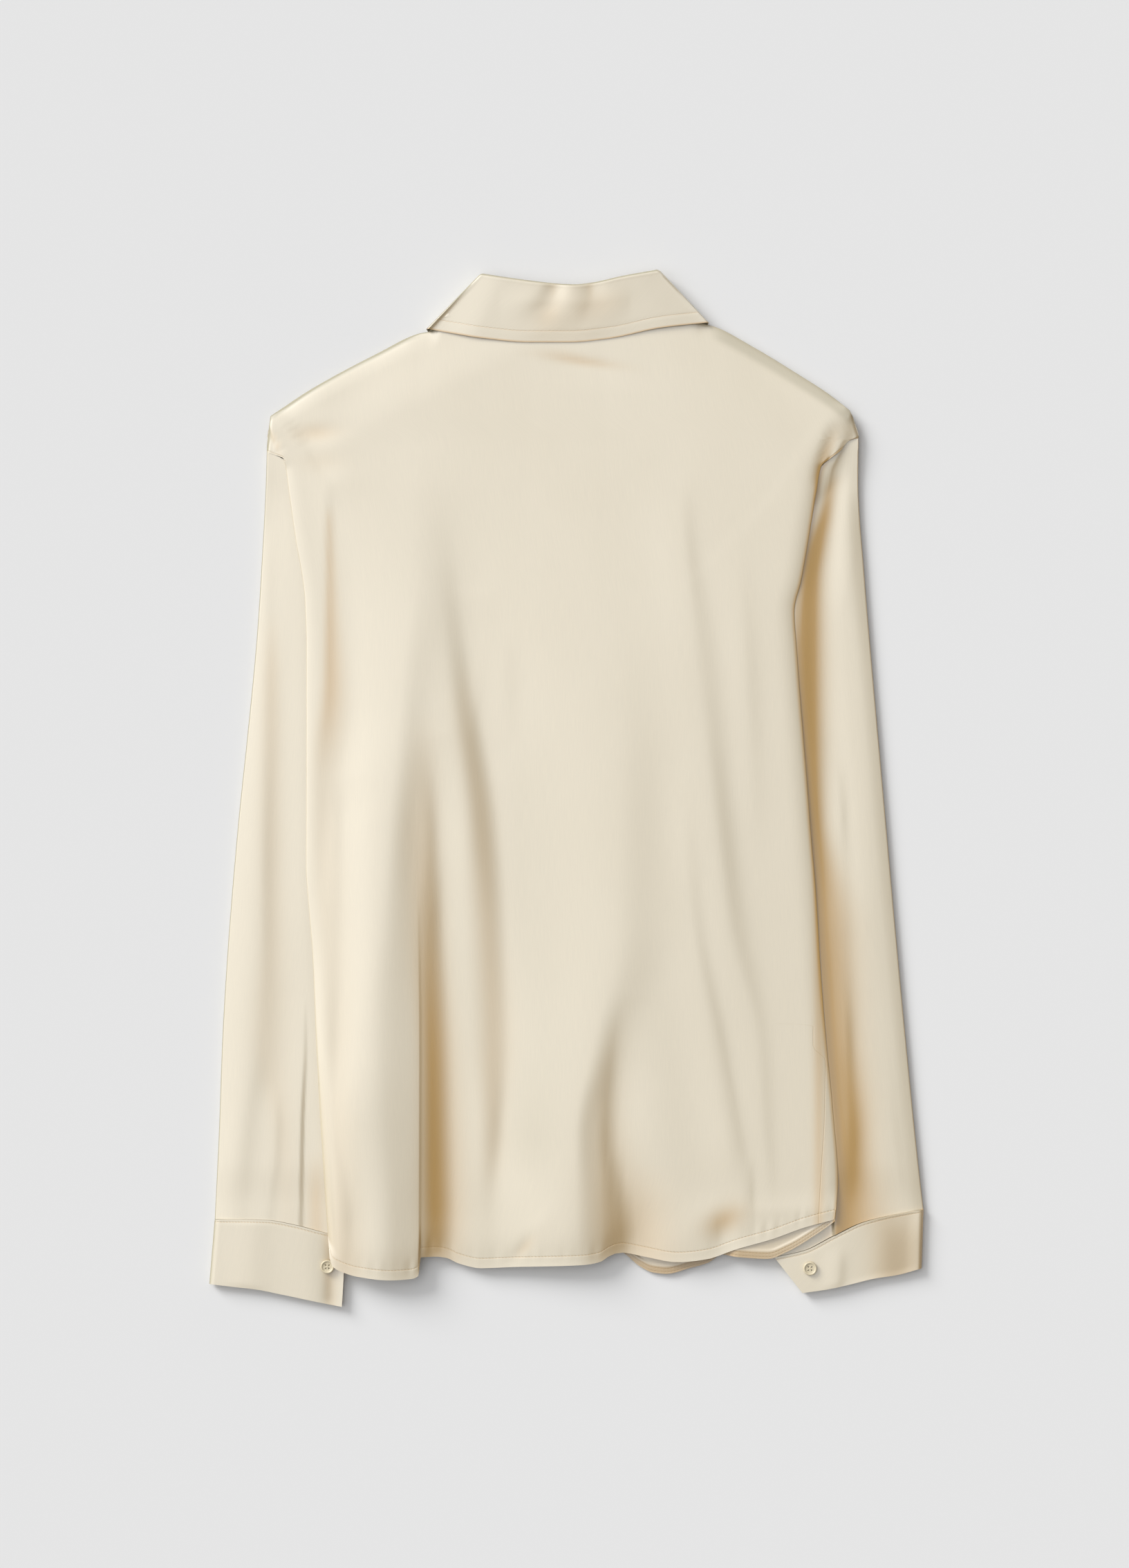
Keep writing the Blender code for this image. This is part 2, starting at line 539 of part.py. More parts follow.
def build_sleeve(name, finish, outer_edge, inner_edge, cap, cuff, body_fold, folds):
    """A flattened tube from its cuff seam to the armhole seam."""
    seam = [(row.share, row.seam_y) for row in cuff]
    rise = np.concatenate([[0.0, 0.02], np.linspace(0.0, 1.0, SLEEVE_ROWS)[1:]])

    def end_height(line, station, y):
        for _ in range(40):
            outer, inner = smooth(outer_edge, y), smooth(inner_edge, y)
            share = (station_x(station, y, outer_edge, inner_edge, body_fold) - outer) / (inner - outer)
            y = 0.5 * (y + float(smooth(line, share)))
        return y

    columns = []
    for station in tube_stations():
        low = end_height(seam, station, -320.0) + 2.0 * SEAM
        high = end_height(cap, station, 200.0) - 1.3 * SEAM
        ys = across(low, high, rise)
        columns.append(np.stack([station_x(station, ys, outer_edge, inner_edge, body_fold), ys], axis=1))
    plan = np.stack(columns, axis=1)
    x, y = plan[..., 0], plan[..., 1]
    near = np.minimum(np.abs(x - smooth(outer_edge, y)), np.abs(x - smooth(inner_edge, y)))
    inward = np.sign(smooth(inner_edge, y) - smooth(outer_edge, y))
    top = sleeve_top(x, y, (body_fold(y) - x) * inward, folds)
    bottom = excess(top - 2.0 * CLOTH - MOST_AIR)
    centre = 0.5 * (top + bottom)
    ring = rounding(near, 0.5 * SLEEVE_FULL)
    upper = np.stack([x, y, centre + (top - centre) * ring], axis=2)
    lower = np.stack([x, y, centre + (bottom - centre) * ring], axis=2)
    loop = np.concatenate([upper, lower[:, -2:0:-1]], axis=1)
    wall(name, loop, CLOTH, finish, closed=True, inward=-float(inward[0, 0]))


# ---- cuffs ----


def build_cuff(name, finish, cuff):
    """A band that starts under its buttoned end, turns round both folds and ends on top of itself."""
    rows = np.linspace(0.0, 1.0, 4)
    # each station round the band: share of the way across, height of its outer face
    mid = 0.5 * CUFF_TOP
    lap_top = CUFF_TOP - CUFF_STEP
    lap_mid = 0.5 * lap_top
    flat = np.array([0.14, 0.28, 0.42, 0.56, 0.7, 0.84])
    stations = [(1.0 - CUFF_LAP, lap_top), (0.87, lap_top), (0.965, lap_top)]
    stations += [(0.989, across(lap_mid, lap_top, 0.7)), (0.998, lap_mid)]
    stations += [(0.989, across(lap_mid, 0.0, 0.7)), (0.965, 0.0)]
    stations += [(share, 0.0) for share in (*flat[::-1], 0.035)]
    stations += [(0.012, across(mid, 0.0, 0.75)), (0.0, mid), (0.012, across(mid, CUFF_TOP, 0.75))]
    stations += [(share, CUFF_TOP) for share in (0.035, *flat, 0.93, 1.0)]
    grid = np.zeros((len(rows), len(stations), 3))
    for k, (share, height) in enumerate(stations):
        seam = np.array([smooth([(r.share, r.seam_x) for r in cuff], share),
                         smooth([(r.share, r.seam_y) for r in cuff], share)])
        end = np.array([smooth([(r.share, r.end_x) for r in cuff], share),
                        smooth([(r.share, r.end_y) for r in cuff], share)])
        grid[:, k, :2] = across(end[None, :], seam[None, :], rows[:, None])
        grid[:, k, 2] = height
    inward = -1.0 if grid[0, -1, 0] > grid[0, -3, 0] else 1.0
    wall(name, grid, COLLAR_CLOTH, finish, inward=inward)


# ---- collar ----


def ring_stations(back_steps, left_front, right_front):
    """Stations round the collar: which half, and share of the way from the middle to the side."""
    rolled = [0.93, 0.97, 0.993]
    back = [-share for share in reversed(rolled)] + list(np.linspace(-0.86, 0.86, back_steps)) + rolled
    stations = [("front", -share) for share in [*left_front, *rolled]] + [("side", -1.0)]
    stations += [("back", share) for share in back] + [("side", 1.0)]
    return stations + [("front", share) for share in reversed([*right_front, *rolled])]


def neck_shares(side):
    """Where the columns of a front meet its neck seam, as shares from the centre to the side."""
    tops = [body_column(share, FRONT_HEM, FRONT_TOP, as_is)[-1, 0] for share in body_shares()]
    first, last = COLLAR_FRONT.x, NECK_SIDE.x
    met = sorted((x * side - first) / (last - first) for x in tops if 6.0 < x * side < 0.9 * last)
    return [0.0, *met]


def line_across(table, share, inset=0.0, drop=0.0):
    """Point of a line across the back of the neck; share is -1 at its left end and 1 at its right."""
    x = across(table[0].x, table[-1].x, 0.5 * (share + 1.0))
    return np.array([x * (1.0 - inset / table[-1].x), float(smooth(table, x)) - drop])


def line_in_front(start, end, share, side, sag):
    """Point of a line from the centre front to the side of the collar."""
    x = across(start.x * side, end[0], share)
    return np.array([x, across(start.y, end[1], share) - 4.0 * sag * share * (1.0 - share)])


def ring_height(half, share, top, bottom, half_width):
    centre = 0.5 * (top + bottom)
    ring = float(rounding((1.0 - abs(share)) * half_width, 0.8 * (top - centre)))
    return centre + ((bottom if half == "front" else top) - centre) * ring


def collar_grid(rows, stations, back_lines, front_lines):
    """Skin of a flattened ring; each row is (share from line to line, inset, top, bottom)."""
    grid = np.zeros((len(rows), len(stations), 3))
    middle_station = [half for half, _ in stations].index("back")
    for r, (t, inset, top, bottom) in enumerate(rows):
        for k, (half, share) in enumerate(stations):
            side = 1.0 if share > 0.0 or k > middle_station else -1.0
            if half == "front":
                plan = across(*front_lines(abs(share), side, inset), t)
            else:
                plan = across(*back_lines(share, inset), t)
            grid[r, k, :2] = plan
            half_width = across(64.0, 98.0, t)
            grid[r, k, 2] = ring_height(half, share, top, bottom, half_width)
    return grid


def build_leaf(finish):
    """The leaf folds over the top of the stand, and its points lie under the fronts."""

    def back_lines(share, inset):
        return line_across(COLLAR_FOLD, share, inset), line_across(LEAF_EDGE, share)

    def front_lines(share, side, inset):
        fold, edge = back_lines(side, inset)
        return (line_in_front(COLLAR_FRONT, fold, share, side, NECK_SAG),
                line_in_front(COLLAR_TIP, edge, share, side, 0.0))

    inner_top, inner_bottom = STAND_TOP - COLLAR_CLOTH, STAND_BOTTOM + COLLAR_CLOTH
    mid_top, mid_bottom = 0.5 * (LEAF_TOP + inner_top), 0.5 * inner_bottom
    rows = (
        (0.062, 3.6, inner_top, inner_bottom),
        (0.02, 2.6, across(mid_top, inner_top, 0.75), across(mid_bottom, inner_bottom, 0.75)),
        (0.0, 1.2, mid_top, mid_bottom),
        (0.02, 0.3, across(mid_top, LEAF_TOP, 0.75), across(mid_bottom, 0.0, 0.75)),
        (0.07, 0.0, LEAF_TOP, 0.0),
        (0.35, 0.0, across(LEAF_TOP, LEAF_LOW, 0.25), 0.0),
        (0.7, 0.0, across(LEAF_TOP, LEAF_LOW, 0.7), 0.0),
        (1.0, 0.0, LEAF_LOW, 0.0),
    )
    stations = ring_stations(7, neck_shares(-1.0), neck_shares(1.0))
    outer = collar_grid(rows, stations, back_lines, front_lines)
    wall("collar_leaf", outer, COLLAR_CLOTH, finish, inward=1.0)


def build_stand(finish):
    """The stand rises from the neck seam to the fold of the leaf."""
    seam = [Span(-NECK_SIDE.x, NECK_SIDE.y)] + [row for row in BODY_TOP if abs(row.x) < 70.0]
    seam += [Span(NECK_SIDE.x, NECK_SIDE.y + 3.4)]

    def back_lines(share, inset):
        return line_across(COLLAR_FOLD, share, inset), line_across(seam, share, 0.0, -SEAM)

    def front_lines(share, side, inset):
        fold, edge = back_lines(side, inset)
        x = across(COLLAR_FRONT.x, NECK_SIDE.x, share)
        low = float(neckline(x)) + 2.0 * SEAM
        to_side = edge[1] - NECK_SIDE.y - 2.0 * SEAM
        return (line_in_front(COLLAR_FRONT, fold, share, side, NECK_SAG),
                np.array([x * side, low + to_side * share ** 6]))

    rows = [(t, 4.6, STAND_TOP, STAND_BOTTOM) for t in (0.14, 0.57, 1.0)]
    stations = ring_stations(7, neck_shares(-1.0), neck_shares(1.0))
    outer = collar_grid(rows, stations, back_lines, front_lines)
    wall("collar_stand", outer, COLLAR_CLOTH, finish, inward=1.0)


# ---- buttons ----


def build_button(name, finish, centre, low, up):
    """A turned button with a raised rim; its dished face looks up, or down under the front."""
    # shares of the radius and of the height, from the flat underside round to the dish
    profile = ((0.8, 0.0), (1.0, 0.35), (1.0, 0.8), (0.9, 1.0), (0.72, 1.0), (0.6, 0.72))
    sides = BUTTON_SIDES
    points, faces = [], []
    for radius, height in profile:
        for k in range(sides):
            turn = 2.0 * math.pi * k / sides
            z = height if up else 1.0 - height
            points.append((centre.x + BUTTON_RADIUS * radius * math.cos(turn),
                           centre.y + BUTTON_RADIUS * radius * math.sin(turn), low + BUTTON_HEIGHT * z))
    rings = len(profile)
    for r in range(rings - 1):
        for k in range(sides):
            n = (k + 1) % sides
            a, b, c, d = r * sides + k, r * sides + n, (r + 1) * sides + n, (r + 1) * sides + k
            faces += [(a, b, c), (a, c, d)]
    faces += [(0, k + 1, k) for k in range(1, sides - 1)]
    last = (rings - 1) * sides
    faces += [(last, last + k, last + k + 1) for k in range(1, sides - 1)]
    made = add_object(name, np.array(points), faces, finish)
    made.data.set_sharp_from_angle(angle=math.radians(40))


def build_front_buttons(finish):
    """The row of buttons down the centre, each hung from the underside of the right front."""
    for k in range(FRONT_BUTTONS):
        place = Span(0.0, FIRST_BUTTON_Y - k * BUTTON_PITCH)
        beside = [front_outer(x, place.y + along) for x in (-OVERLAP, OVERLAP) for along in (-26.0, 0.0, 26.0)]
        low = max(0.0, float(min(beside)) - SEAM - BUTTON_HEIGHT)
        build_button(f"front_button_{k + 1}", finish, place, low, False)


def main():
    for old in list(bpy.data.objects):
        bpy.data.objects.remove(old, do_unlink=True)
    satin = material("satin", (0.79, 0.70, 0.55), 0.38)
    button = material("button", (0.76, 0.68, 0.52), 0.22)
    build_back(satin)
    build_front("front_left", satin, -1.0)
    build_front("front_right", satin, 1.0)
    build_sleeve("sleeve_left", satin, SLEEVE_LEFT_OUTER, SLEEVE_LEFT_INNER, CAP_LEFT, CUFF_LEFT,
                 side_fold_left, LEFT_SLEEVE_FOLDS)
    build_sleeve("sleeve_right", satin, SLEEVE_RIGHT_OUTER, SLEEVE_RIGHT_INNER, CAP_RIGHT, CUFF_RIGHT,
                 side_fold_right, RIGHT_SLEEVE_FOLDS)
    build_cuff("cuff_left", satin, CUFF_LEFT)
    build_cuff("cuff_right", satin, CUFF_RIGHT)
    build_leaf(satin)
    build_stand(satin)
    build_button("cuff_button_left", button, CUFF_BUTTON_LEFT, CUFF_TOP + SEAM, True)
    build_button("cuff_button_right", button, CUFF_BUTTON_RIGHT, CUFF_TOP + SEAM, True)
    build_front_buttons(button)


main()
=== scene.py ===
"""Looks of a satin shirt with buttoned cuffs, lying face down with its back up.

Every piece is a thin shell of cloth on its solid's form.  The tables give the same outlines as the
solids have, in millimetres, with the folds, hems, seams and stitches that the solids leave out.
"""
import math
from collections import namedtuple

import bpy
import numpy as np
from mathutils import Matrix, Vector


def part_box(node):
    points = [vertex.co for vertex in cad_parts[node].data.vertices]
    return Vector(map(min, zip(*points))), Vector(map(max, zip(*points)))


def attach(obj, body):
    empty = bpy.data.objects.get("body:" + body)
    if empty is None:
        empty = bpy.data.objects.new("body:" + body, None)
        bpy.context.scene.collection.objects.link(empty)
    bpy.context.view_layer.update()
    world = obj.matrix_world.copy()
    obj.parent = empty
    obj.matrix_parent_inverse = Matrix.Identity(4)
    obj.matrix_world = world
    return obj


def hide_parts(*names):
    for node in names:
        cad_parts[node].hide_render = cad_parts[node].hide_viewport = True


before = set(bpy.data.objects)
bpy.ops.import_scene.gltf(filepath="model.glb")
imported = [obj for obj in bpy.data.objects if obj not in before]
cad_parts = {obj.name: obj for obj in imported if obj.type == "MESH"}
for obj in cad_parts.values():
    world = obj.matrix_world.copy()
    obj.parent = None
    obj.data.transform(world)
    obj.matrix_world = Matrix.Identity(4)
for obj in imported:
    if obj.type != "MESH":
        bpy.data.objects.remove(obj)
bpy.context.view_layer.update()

MM = 0.001

# Driving sizes, in millimetres; a height is above the surface that the shirt lies on
CLOTH = 1.0           # the room that one layer takes up
COLLAR_CLOTH = 1.2    # wall of the interfaced collar and cuffs
THIN = 0.6            # wall of the shown cloth
SEAM = 0.35           # gap between two pieces where they are sewn together
MOST_AIR = 3.0        # most air left between two layers of a tube
SIDE_ROLL = 4.2       # reach over which the fronts round into the side folds
BACK_ROLL_LEFT, BACK_ROLL_RIGHT = 8.0, 7.0    # reach over which the back rounds into them
TOP_ROLL = 13.0       # and into the shoulder lines
SHOULDER_SINK = 2.0   # how much thinner the shirt is at its shoulder lines
SHOULDER_COSINE = 0.87    # of the shoulder lines' slope
LAP_LIFT = 1.0        # how much the left front is lifted where it lies on the right one
OVERLAP = 13.0        # how far each front passes the centre line
SLEEVE_FLAT = 3.4     # height of a sleeve's tube where the body lies on it
SLEEVE_FULL = 5.2     # level of the back at its side folds, over the sleeves
SLEEVE_CAP = 4.9      # height of a sleeve's tube at the armhole seam
BODY_REACH = 42.0     # how far past a sleeve's edge the body stays lifted by it
BODY_SLOPE = 16.0     # and how far it then takes to come down
BUTTON_HEIGHT = 2.4
FRONT_BUTTONS = 6
HOLE_OFFSET = 1.15    # place and size of a button's four holes
HOLE_RADIUS = 0.5
CUFF_LAP = 0.24       # share of a cuff's width that its ends overlap
CUFF_TOP = 3.0 * COLLAR_CLOTH + 2.0 * SEAM + 0.6
CUFF_RISE = CUFF_TOP - SLEEVE_FLAT + 0.2    # how much more a cuff lifts the body than its sleeve
LEAF_TOP = 12.4       # height of the collar's leaf at its fold
LEAF_LOW = 9.4        # and at its lower edge, where it lies on the back
LEAF_HALF = 92.0      # half width of the stretch where the leaf covers the body's upper edge
LEAF_REACH = 98.0     # half width of the leaf at its lower edge
STAND_TOP = 8.8       # heights of the collar's stand, behind and in front of the neck
STAND_BOTTOM = 3.3
NECK_SAG = 24.0       # how far the neckline and the collar's fold dip below a straight line in front
YOKE_LINE = 228.0     # place along the shirt where the armhole seams come out from under the body
FLAT_LOW, FLAT_HIGH = -340.0, 345.0    # ends of the body's rows before they follow hem and shoulders
HEM_ZONE = 90.0       # length above the hem over which the rows follow its curve
LOBE_DROP = 14.0      # how far the steep side of the lobe's sharp edge reaches
ARMHOLE_LEFT, ARMHOLE_RIGHT = 236.0, 232.0    # heights at which the side folds meet the armhole seams
SEEN_LEFT, SEEN_RIGHT = -202.5, 184.5         # outside these the armhole seams show
LEAN_LEFT, LEAN_RIGHT = 0.11, 0.34            # how far the shoulders' outsides come in for each mm up
SINK_START, SINK_END = 107.0, 214.0           # half widths between which the shoulders thin out
SINK_REACH = 46.0                             # and how far below their lines
SIDE_SEAM_TOP = -196.0                        # the side seam shows on the back below this
CUFF_LINE, PLACKET_HALF = -284.0, 34.0        # where cuffs and front buttons begin to lift the body
POINTS_LOW, POINTS_HALF = 205.0, 128.0        # and where the collar's points do

# Hems and stitches, in millimetres but for the pitch
HEM_DEPTH = 7.0       # distance of a hem's stitches from its edge
PUCKER = 0.07         # height of the waves along a hem's stitches
HEM_DROOP = 1.1       # how far the back sinks at its hem, and over what length
HEM_DROOP_REACH = 14.0
FRONT_DROOP = 1.6     # how far the fronts sink at theirs
FRONT_BAND = 5.0      # width of the band that two rows of stitches hold at the fronts' hem
LEAF_STITCH = 8.0     # distance of the leaf's stitches from its edge
CUFF_STITCH = 1.8     # distance of a cuff's stitches from its seam
STITCH_PITCH = 0.0024 # length of one stitch and its gap, in metres
STITCH_SHARE = 0.66   # share of it that is thread
NO_LINE = 9.0         # a distance at which no stitch or seam is drawn

# How finely the pieces are divided
BACK_COLUMNS, BACK_ROWS = 178, 276
FRONT_COLUMNS, FRONT_ROWS = 110, 150
SLEEVE_ROWS = 210
CUFF_ROWS = 34

# Colours, roughness, lamp, room and camera; angles in degrees
# The cloth is the pale colour. The golden colour is painted shade for the folds and for cloth that leans away
# from the lamp, and also the stitches' thread. The olive grey multiplies in painted shade.
SATIN_PALE, SATIN_GOLD_SHADE_AND_THREAD, SATIN_SHADE = (0.67, 0.58, 0.405), (0.53, 0.28, 0.012), (0.42, 0.42, 0.30)
SATIN_ROUGHNESS = 0.38
AWAY_SHADE = 0.8            # strength of the golden shade painted on satin that leans far away from the lamp
BUTTON_COLOURS = ((0.58, 0.50, 0.34), (0.70, 0.62, 0.45))
PAPER = (0.78, 0.78, 0.78)
FLOOR_HALF, FLOOR_LEVEL = 8.0, -0.0011    # in metres
KEY_STRENGTH, KEY_ANGLE, KEY_AZIMUTH, KEY_ELEVATION = 2.85, 28.0, 138.0, 24.5
BOX_STRENGTH, BOX_AZIMUTH, BOX_ELEVATION = 1.36, 150.0, 60.0
BOX_INNER, BOX_OUTER = 22.0, 55.0
FILL_STRENGTH = 0.20
CAMERA_HEIGHT = 3000.0
VIEW_LENGTH = 1134.0

Edge = namedtuple("Edge", "y x")
Span = namedtuple("Span", "x y")
Line = namedtuple("Line", "x y lean rise")
Cuff = namedtuple("Cuff", "share seam_x seam_y end_x end_y")
Station = namedtuple("Station", "y x left right height")
Spot = namedtuple("Spot", "x y along across turn height")
Levels = namedtuple("Levels", "beside free sink reach roll")
Sleeve = namedtuple("Sleeve", "outer inner cap cuff body_fold levels folds warmth shade")


def rows_of(kind, *rows):
    """A table whose rows have that kind's columns."""
    return [kind(*row) for row in rows]


def named_folds(**folds):
    """Folds by name, each with its stations: where it runs, its widths to either side, its height."""
    return {name: rows_of(Station, *rows) for name, rows in folds.items()}


VIEW_CENTRE = Span(-1.5, 3.25)
NECK_SIDE, NECK_FRONT = Span(89.0, 340.0), Span(0.0, 264.0)
SHOULDER_LEFT, SHOULDER_RIGHT = Span(-216.6, 243.3), Span(211.0, 253.4)    # outer ends of the shoulders
COLLAR_TIP = Span(40.0, 238.0)     # point of each half of the leaf, under the front
COLLAR_FRONT = Span(3.0, 297.0)    # end of the fold line at the centre front
# Heights of a sleeve beside the body and away from it, how far and over what length it sinks to its
# outer edge, and the radius of that edge
LEFT_LEVELS = Levels(4.0, 4.7, 1.4, 22.0, 0.9)
RIGHT_LEVELS = Levels(2.6, 3.5, 0.8, 10.0, 0.5)
# Distances from a sleeve's fold at which its rolled edge has a column
SLEEVE_ROLL = (0.0, 0.08, 0.25, 0.55, 1.0, 1.6, 2.5, 3.6)
# Section of a button, as radius and height
BUTTON_PROFILE = (
    (0.0, 0.0), (2.6, 0.0), (4.2, 0.25), (4.75, 0.7), (4.95, 1.2), (4.9, 1.65), (4.65, 1.98), (4.3, 2.1),
    (3.95, 2.02), (3.65, 1.8), (3.4, 1.58), (3.0, 1.48), (1.8, 1.44), (0.0, 1.42),
)

# ---- outlines ----

# Side folds of the body, from the hem up, then the armhole seam and the outside of the shoulder
BODY_LEFT = rows_of(
    Edge, (-338.7, -170.7), (-320, -172.3), (-180, -180.8), (-121, -183.3), (-89, -185.8), (-57, -188),
    (20, -187.8), (101, -187.8), (135, -188.8), (153, -190.8), (178, -195.3), (213, -200.3),
    (238.2, -204.3), (243.3, -216.6), (268.8, -213.8),
)
BODY_RIGHT = rows_of(
    Edge, (-310.7, 193.8), (-302.7, 194.6), (-283, 195.8), (-232, 192.3), (-187, 187.8), (-137, 183.8),
    (-73, 179.8), (-33, 176.3), (7, 173.3), (69, 168.3), (99, 166.2), (128, 164.4), (150, 169.3),
    (172, 173.3), (214, 180.3), (232.4, 183.8), (238.9, 191.3), (243.4, 197.3), (251.4, 204.3),
    (253.4, 211), (264, 208.2), (272.8, 204.3),
)
# Shoulder lines, and the neck seam between them
BODY_TOP = rows_of(
    Span, (-213.8, 268.8), (-204.8, 275), (-189.8, 285), (-167, 298.3), (-137.2, 313.9), (-107, 328.4),
    (-98, 330.2), (-88, 338), (-60, 337), (0, 334), (60, 338), (89, 342.5), (98, 335.8), (106, 333.8),
    (136, 318.2), (166, 299.9), (190, 284.3), (204.3, 272.8),
)
BACK_HEM = rows_of(
    Span, (-170.7, -338.7), (-168.7, -344.3), (-164.2, -347.3), (-150.8, -351.6), (-126.5, -354.2),
    (-112, -353.4), (-107, -351.4), (-105, -338), (-94.8, -337.8), (-86.8, -338.8), (-78, -342.8),
    (-62, -346.2), (-40, -345.2), (12, -343.3), (24, -341.3), (31.5, -336.8), (38.8, -334.8),
    (55.8, -337.8), (80, -341.8), (100.3, -339.8), (122.8, -332.3), (148.8, -324.8), (171, -316.8),
    (193.8, -310.7),
)
FRONT_HEM = rows_of(
    Span, (-170.7, -330), (-130, -336), (-60, -337), (10, -331), (38.8, -334.9), (52.8, -345.3),
    (62.3, -349.8), (72, -350.8), (89.2, -346.5), (102, -342.8), (113.2, -336.6), (124, -338.2),
    (145.5, -339.4), (158.3, -334.8), (180.3, -321.8), (193.8, -312.3),
)
SLEEVE_LEFT_OUTER = rows_of(
    Edge, (-311, -254.3), (-250, -251.3), (-182, -248.8), (-115, -244.8), (-25, -237.3), (42, -230.3),
    (110, -223.8), (155, -220.8), (223, -217.2), (243.3, -216.6),
)
SLEEVE_LEFT_INNER = rows_of(Edge, (-324, -159.4), (-150, -136), (0, -106), (110, -84))
SLEEVE_RIGHT_OUTER = rows_of(
    Edge, (-304, 258), (-272, 254.3), (-182, 245.2), (-92, 236.8), (-2, 228.8), (88, 220.8), (155, 215.2),
    (223, 210.8), (253.4, 211),
)
SLEEVE_RIGHT_INNER = rows_of(Edge, (-338, 150), (-150, 128), (0, 104), (110, 82))
# Armhole seams as they show, each a point and the seam's upright direction: the left one, then the
# lower and the upper part of the right one
ARMHOLE_LINES = rows_of(
    Line, (-204.3, 238.2, 0.38, 0.925), (183.8, 232.4, -0.634, 0.773), (197.3, 243.4, -0.585, 0.811),
)
# The sleeves' upper ends: x is the share of the way across the sleeve
CAP_LEFT = rows_of(Span, (0, 243.3), (0.09, 238), (0.16, 228), (0.24, 210), (0.34, 188), (1, 112))
CAP_RIGHT = rows_of(
    Span, (0, 253.4), (0.052, 251.4), (0.107, 243.4), (0.154, 238.9), (0.211, 232.4), (0.28, 222),
    (0.36, 207), (0.46, 186), (1, 112),
)
# Each cuff from its outer fold to its buttoned end
CUFF_LEFT = rows_of(
    Cuff, (0, -254.3, -311.3, -258.2, -357.8), (0.2, -235.3, -311.3, -241.3, -359.8),
    (0.4, -216.3, -311.8, -223.8, -361.8), (0.6, -197.3, -315, -205.3, -365.5),
    (0.8, -178.3, -319.9, -184, -370), (1, -159.4, -324.4, -162.3, -374.4),
)
CUFF_RIGHT = rows_of(
    Cuff, (0, 258, -304, 256.6, -346.5), (0.2, 236.4, -308, 239, -351.3), (0.4, 214.8, -313.4, 221.9, -354),
    (0.6, 193.2, -323.3, 204.7, -358.2), (0.8, 171.6, -333.9, 187.5, -361.9),
    (1, 150, -338.6, 170.3, -364.3),
)
# Fold line of the collar and lower edge of its leaf, across the back of the neck
COLLAR_FOLD = rows_of(
    Span, (-62, 371.6), (-40.3, 368.3), (-9.3, 364.6), (6, 363.7), (18.3, 365), (40, 369.6), (66.8, 374.4),
)
LEAF_EDGE = rows_of(
    Span, (-101.3, 331.7), (-82, 328.3), (-60.8, 324.8), (-26.3, 321.8), (2, 321.8), (30, 324.4),
    (68.3, 332.3), (102.8, 336.2),
)
# Side seam where it comes round onto the back
SIDE_SEAM = rows_of(Edge, (-345, 181), (-310, 182), (-273, 184), (-241, 186), (-198, 187))
# Lines that the back's columns follow, between the side folds: the lobe's edge, two valleys and the
# long crease; and the share of the columns at which each lies, the side folds included
LOBE_EDGE = rows_of(Edge, (-360, -107), (-187, -106.5), (-100, -107.5), (100, -112), (345, -104))
VALLEY_LINE = rows_of(
    Edge, (-360, -60), (-303, -58), (-200, -51), (-82, -46), (5, -51), (70, -65), (139, -75), (345, -62),
)
BAND_LINE = rows_of(
    Edge, (-360, 33), (-294, 27), (-249, 29), (-205, 34), (-169, 39), (-82, 52), (88, 61), (345, 46),
)
CREASE_LINE = rows_of(
    Edge, (-360, 135), (-312, 133), (-273, 130), (-240, 122), (-205, 115), (-160, 108), (-110, 95),
    (-19, 84), (100, 96), (345, 88),
)
GUIDE_SHARES = (0.0, 0.21, 0.36, 0.63, 0.77, 1.0)

# ---- folds ----

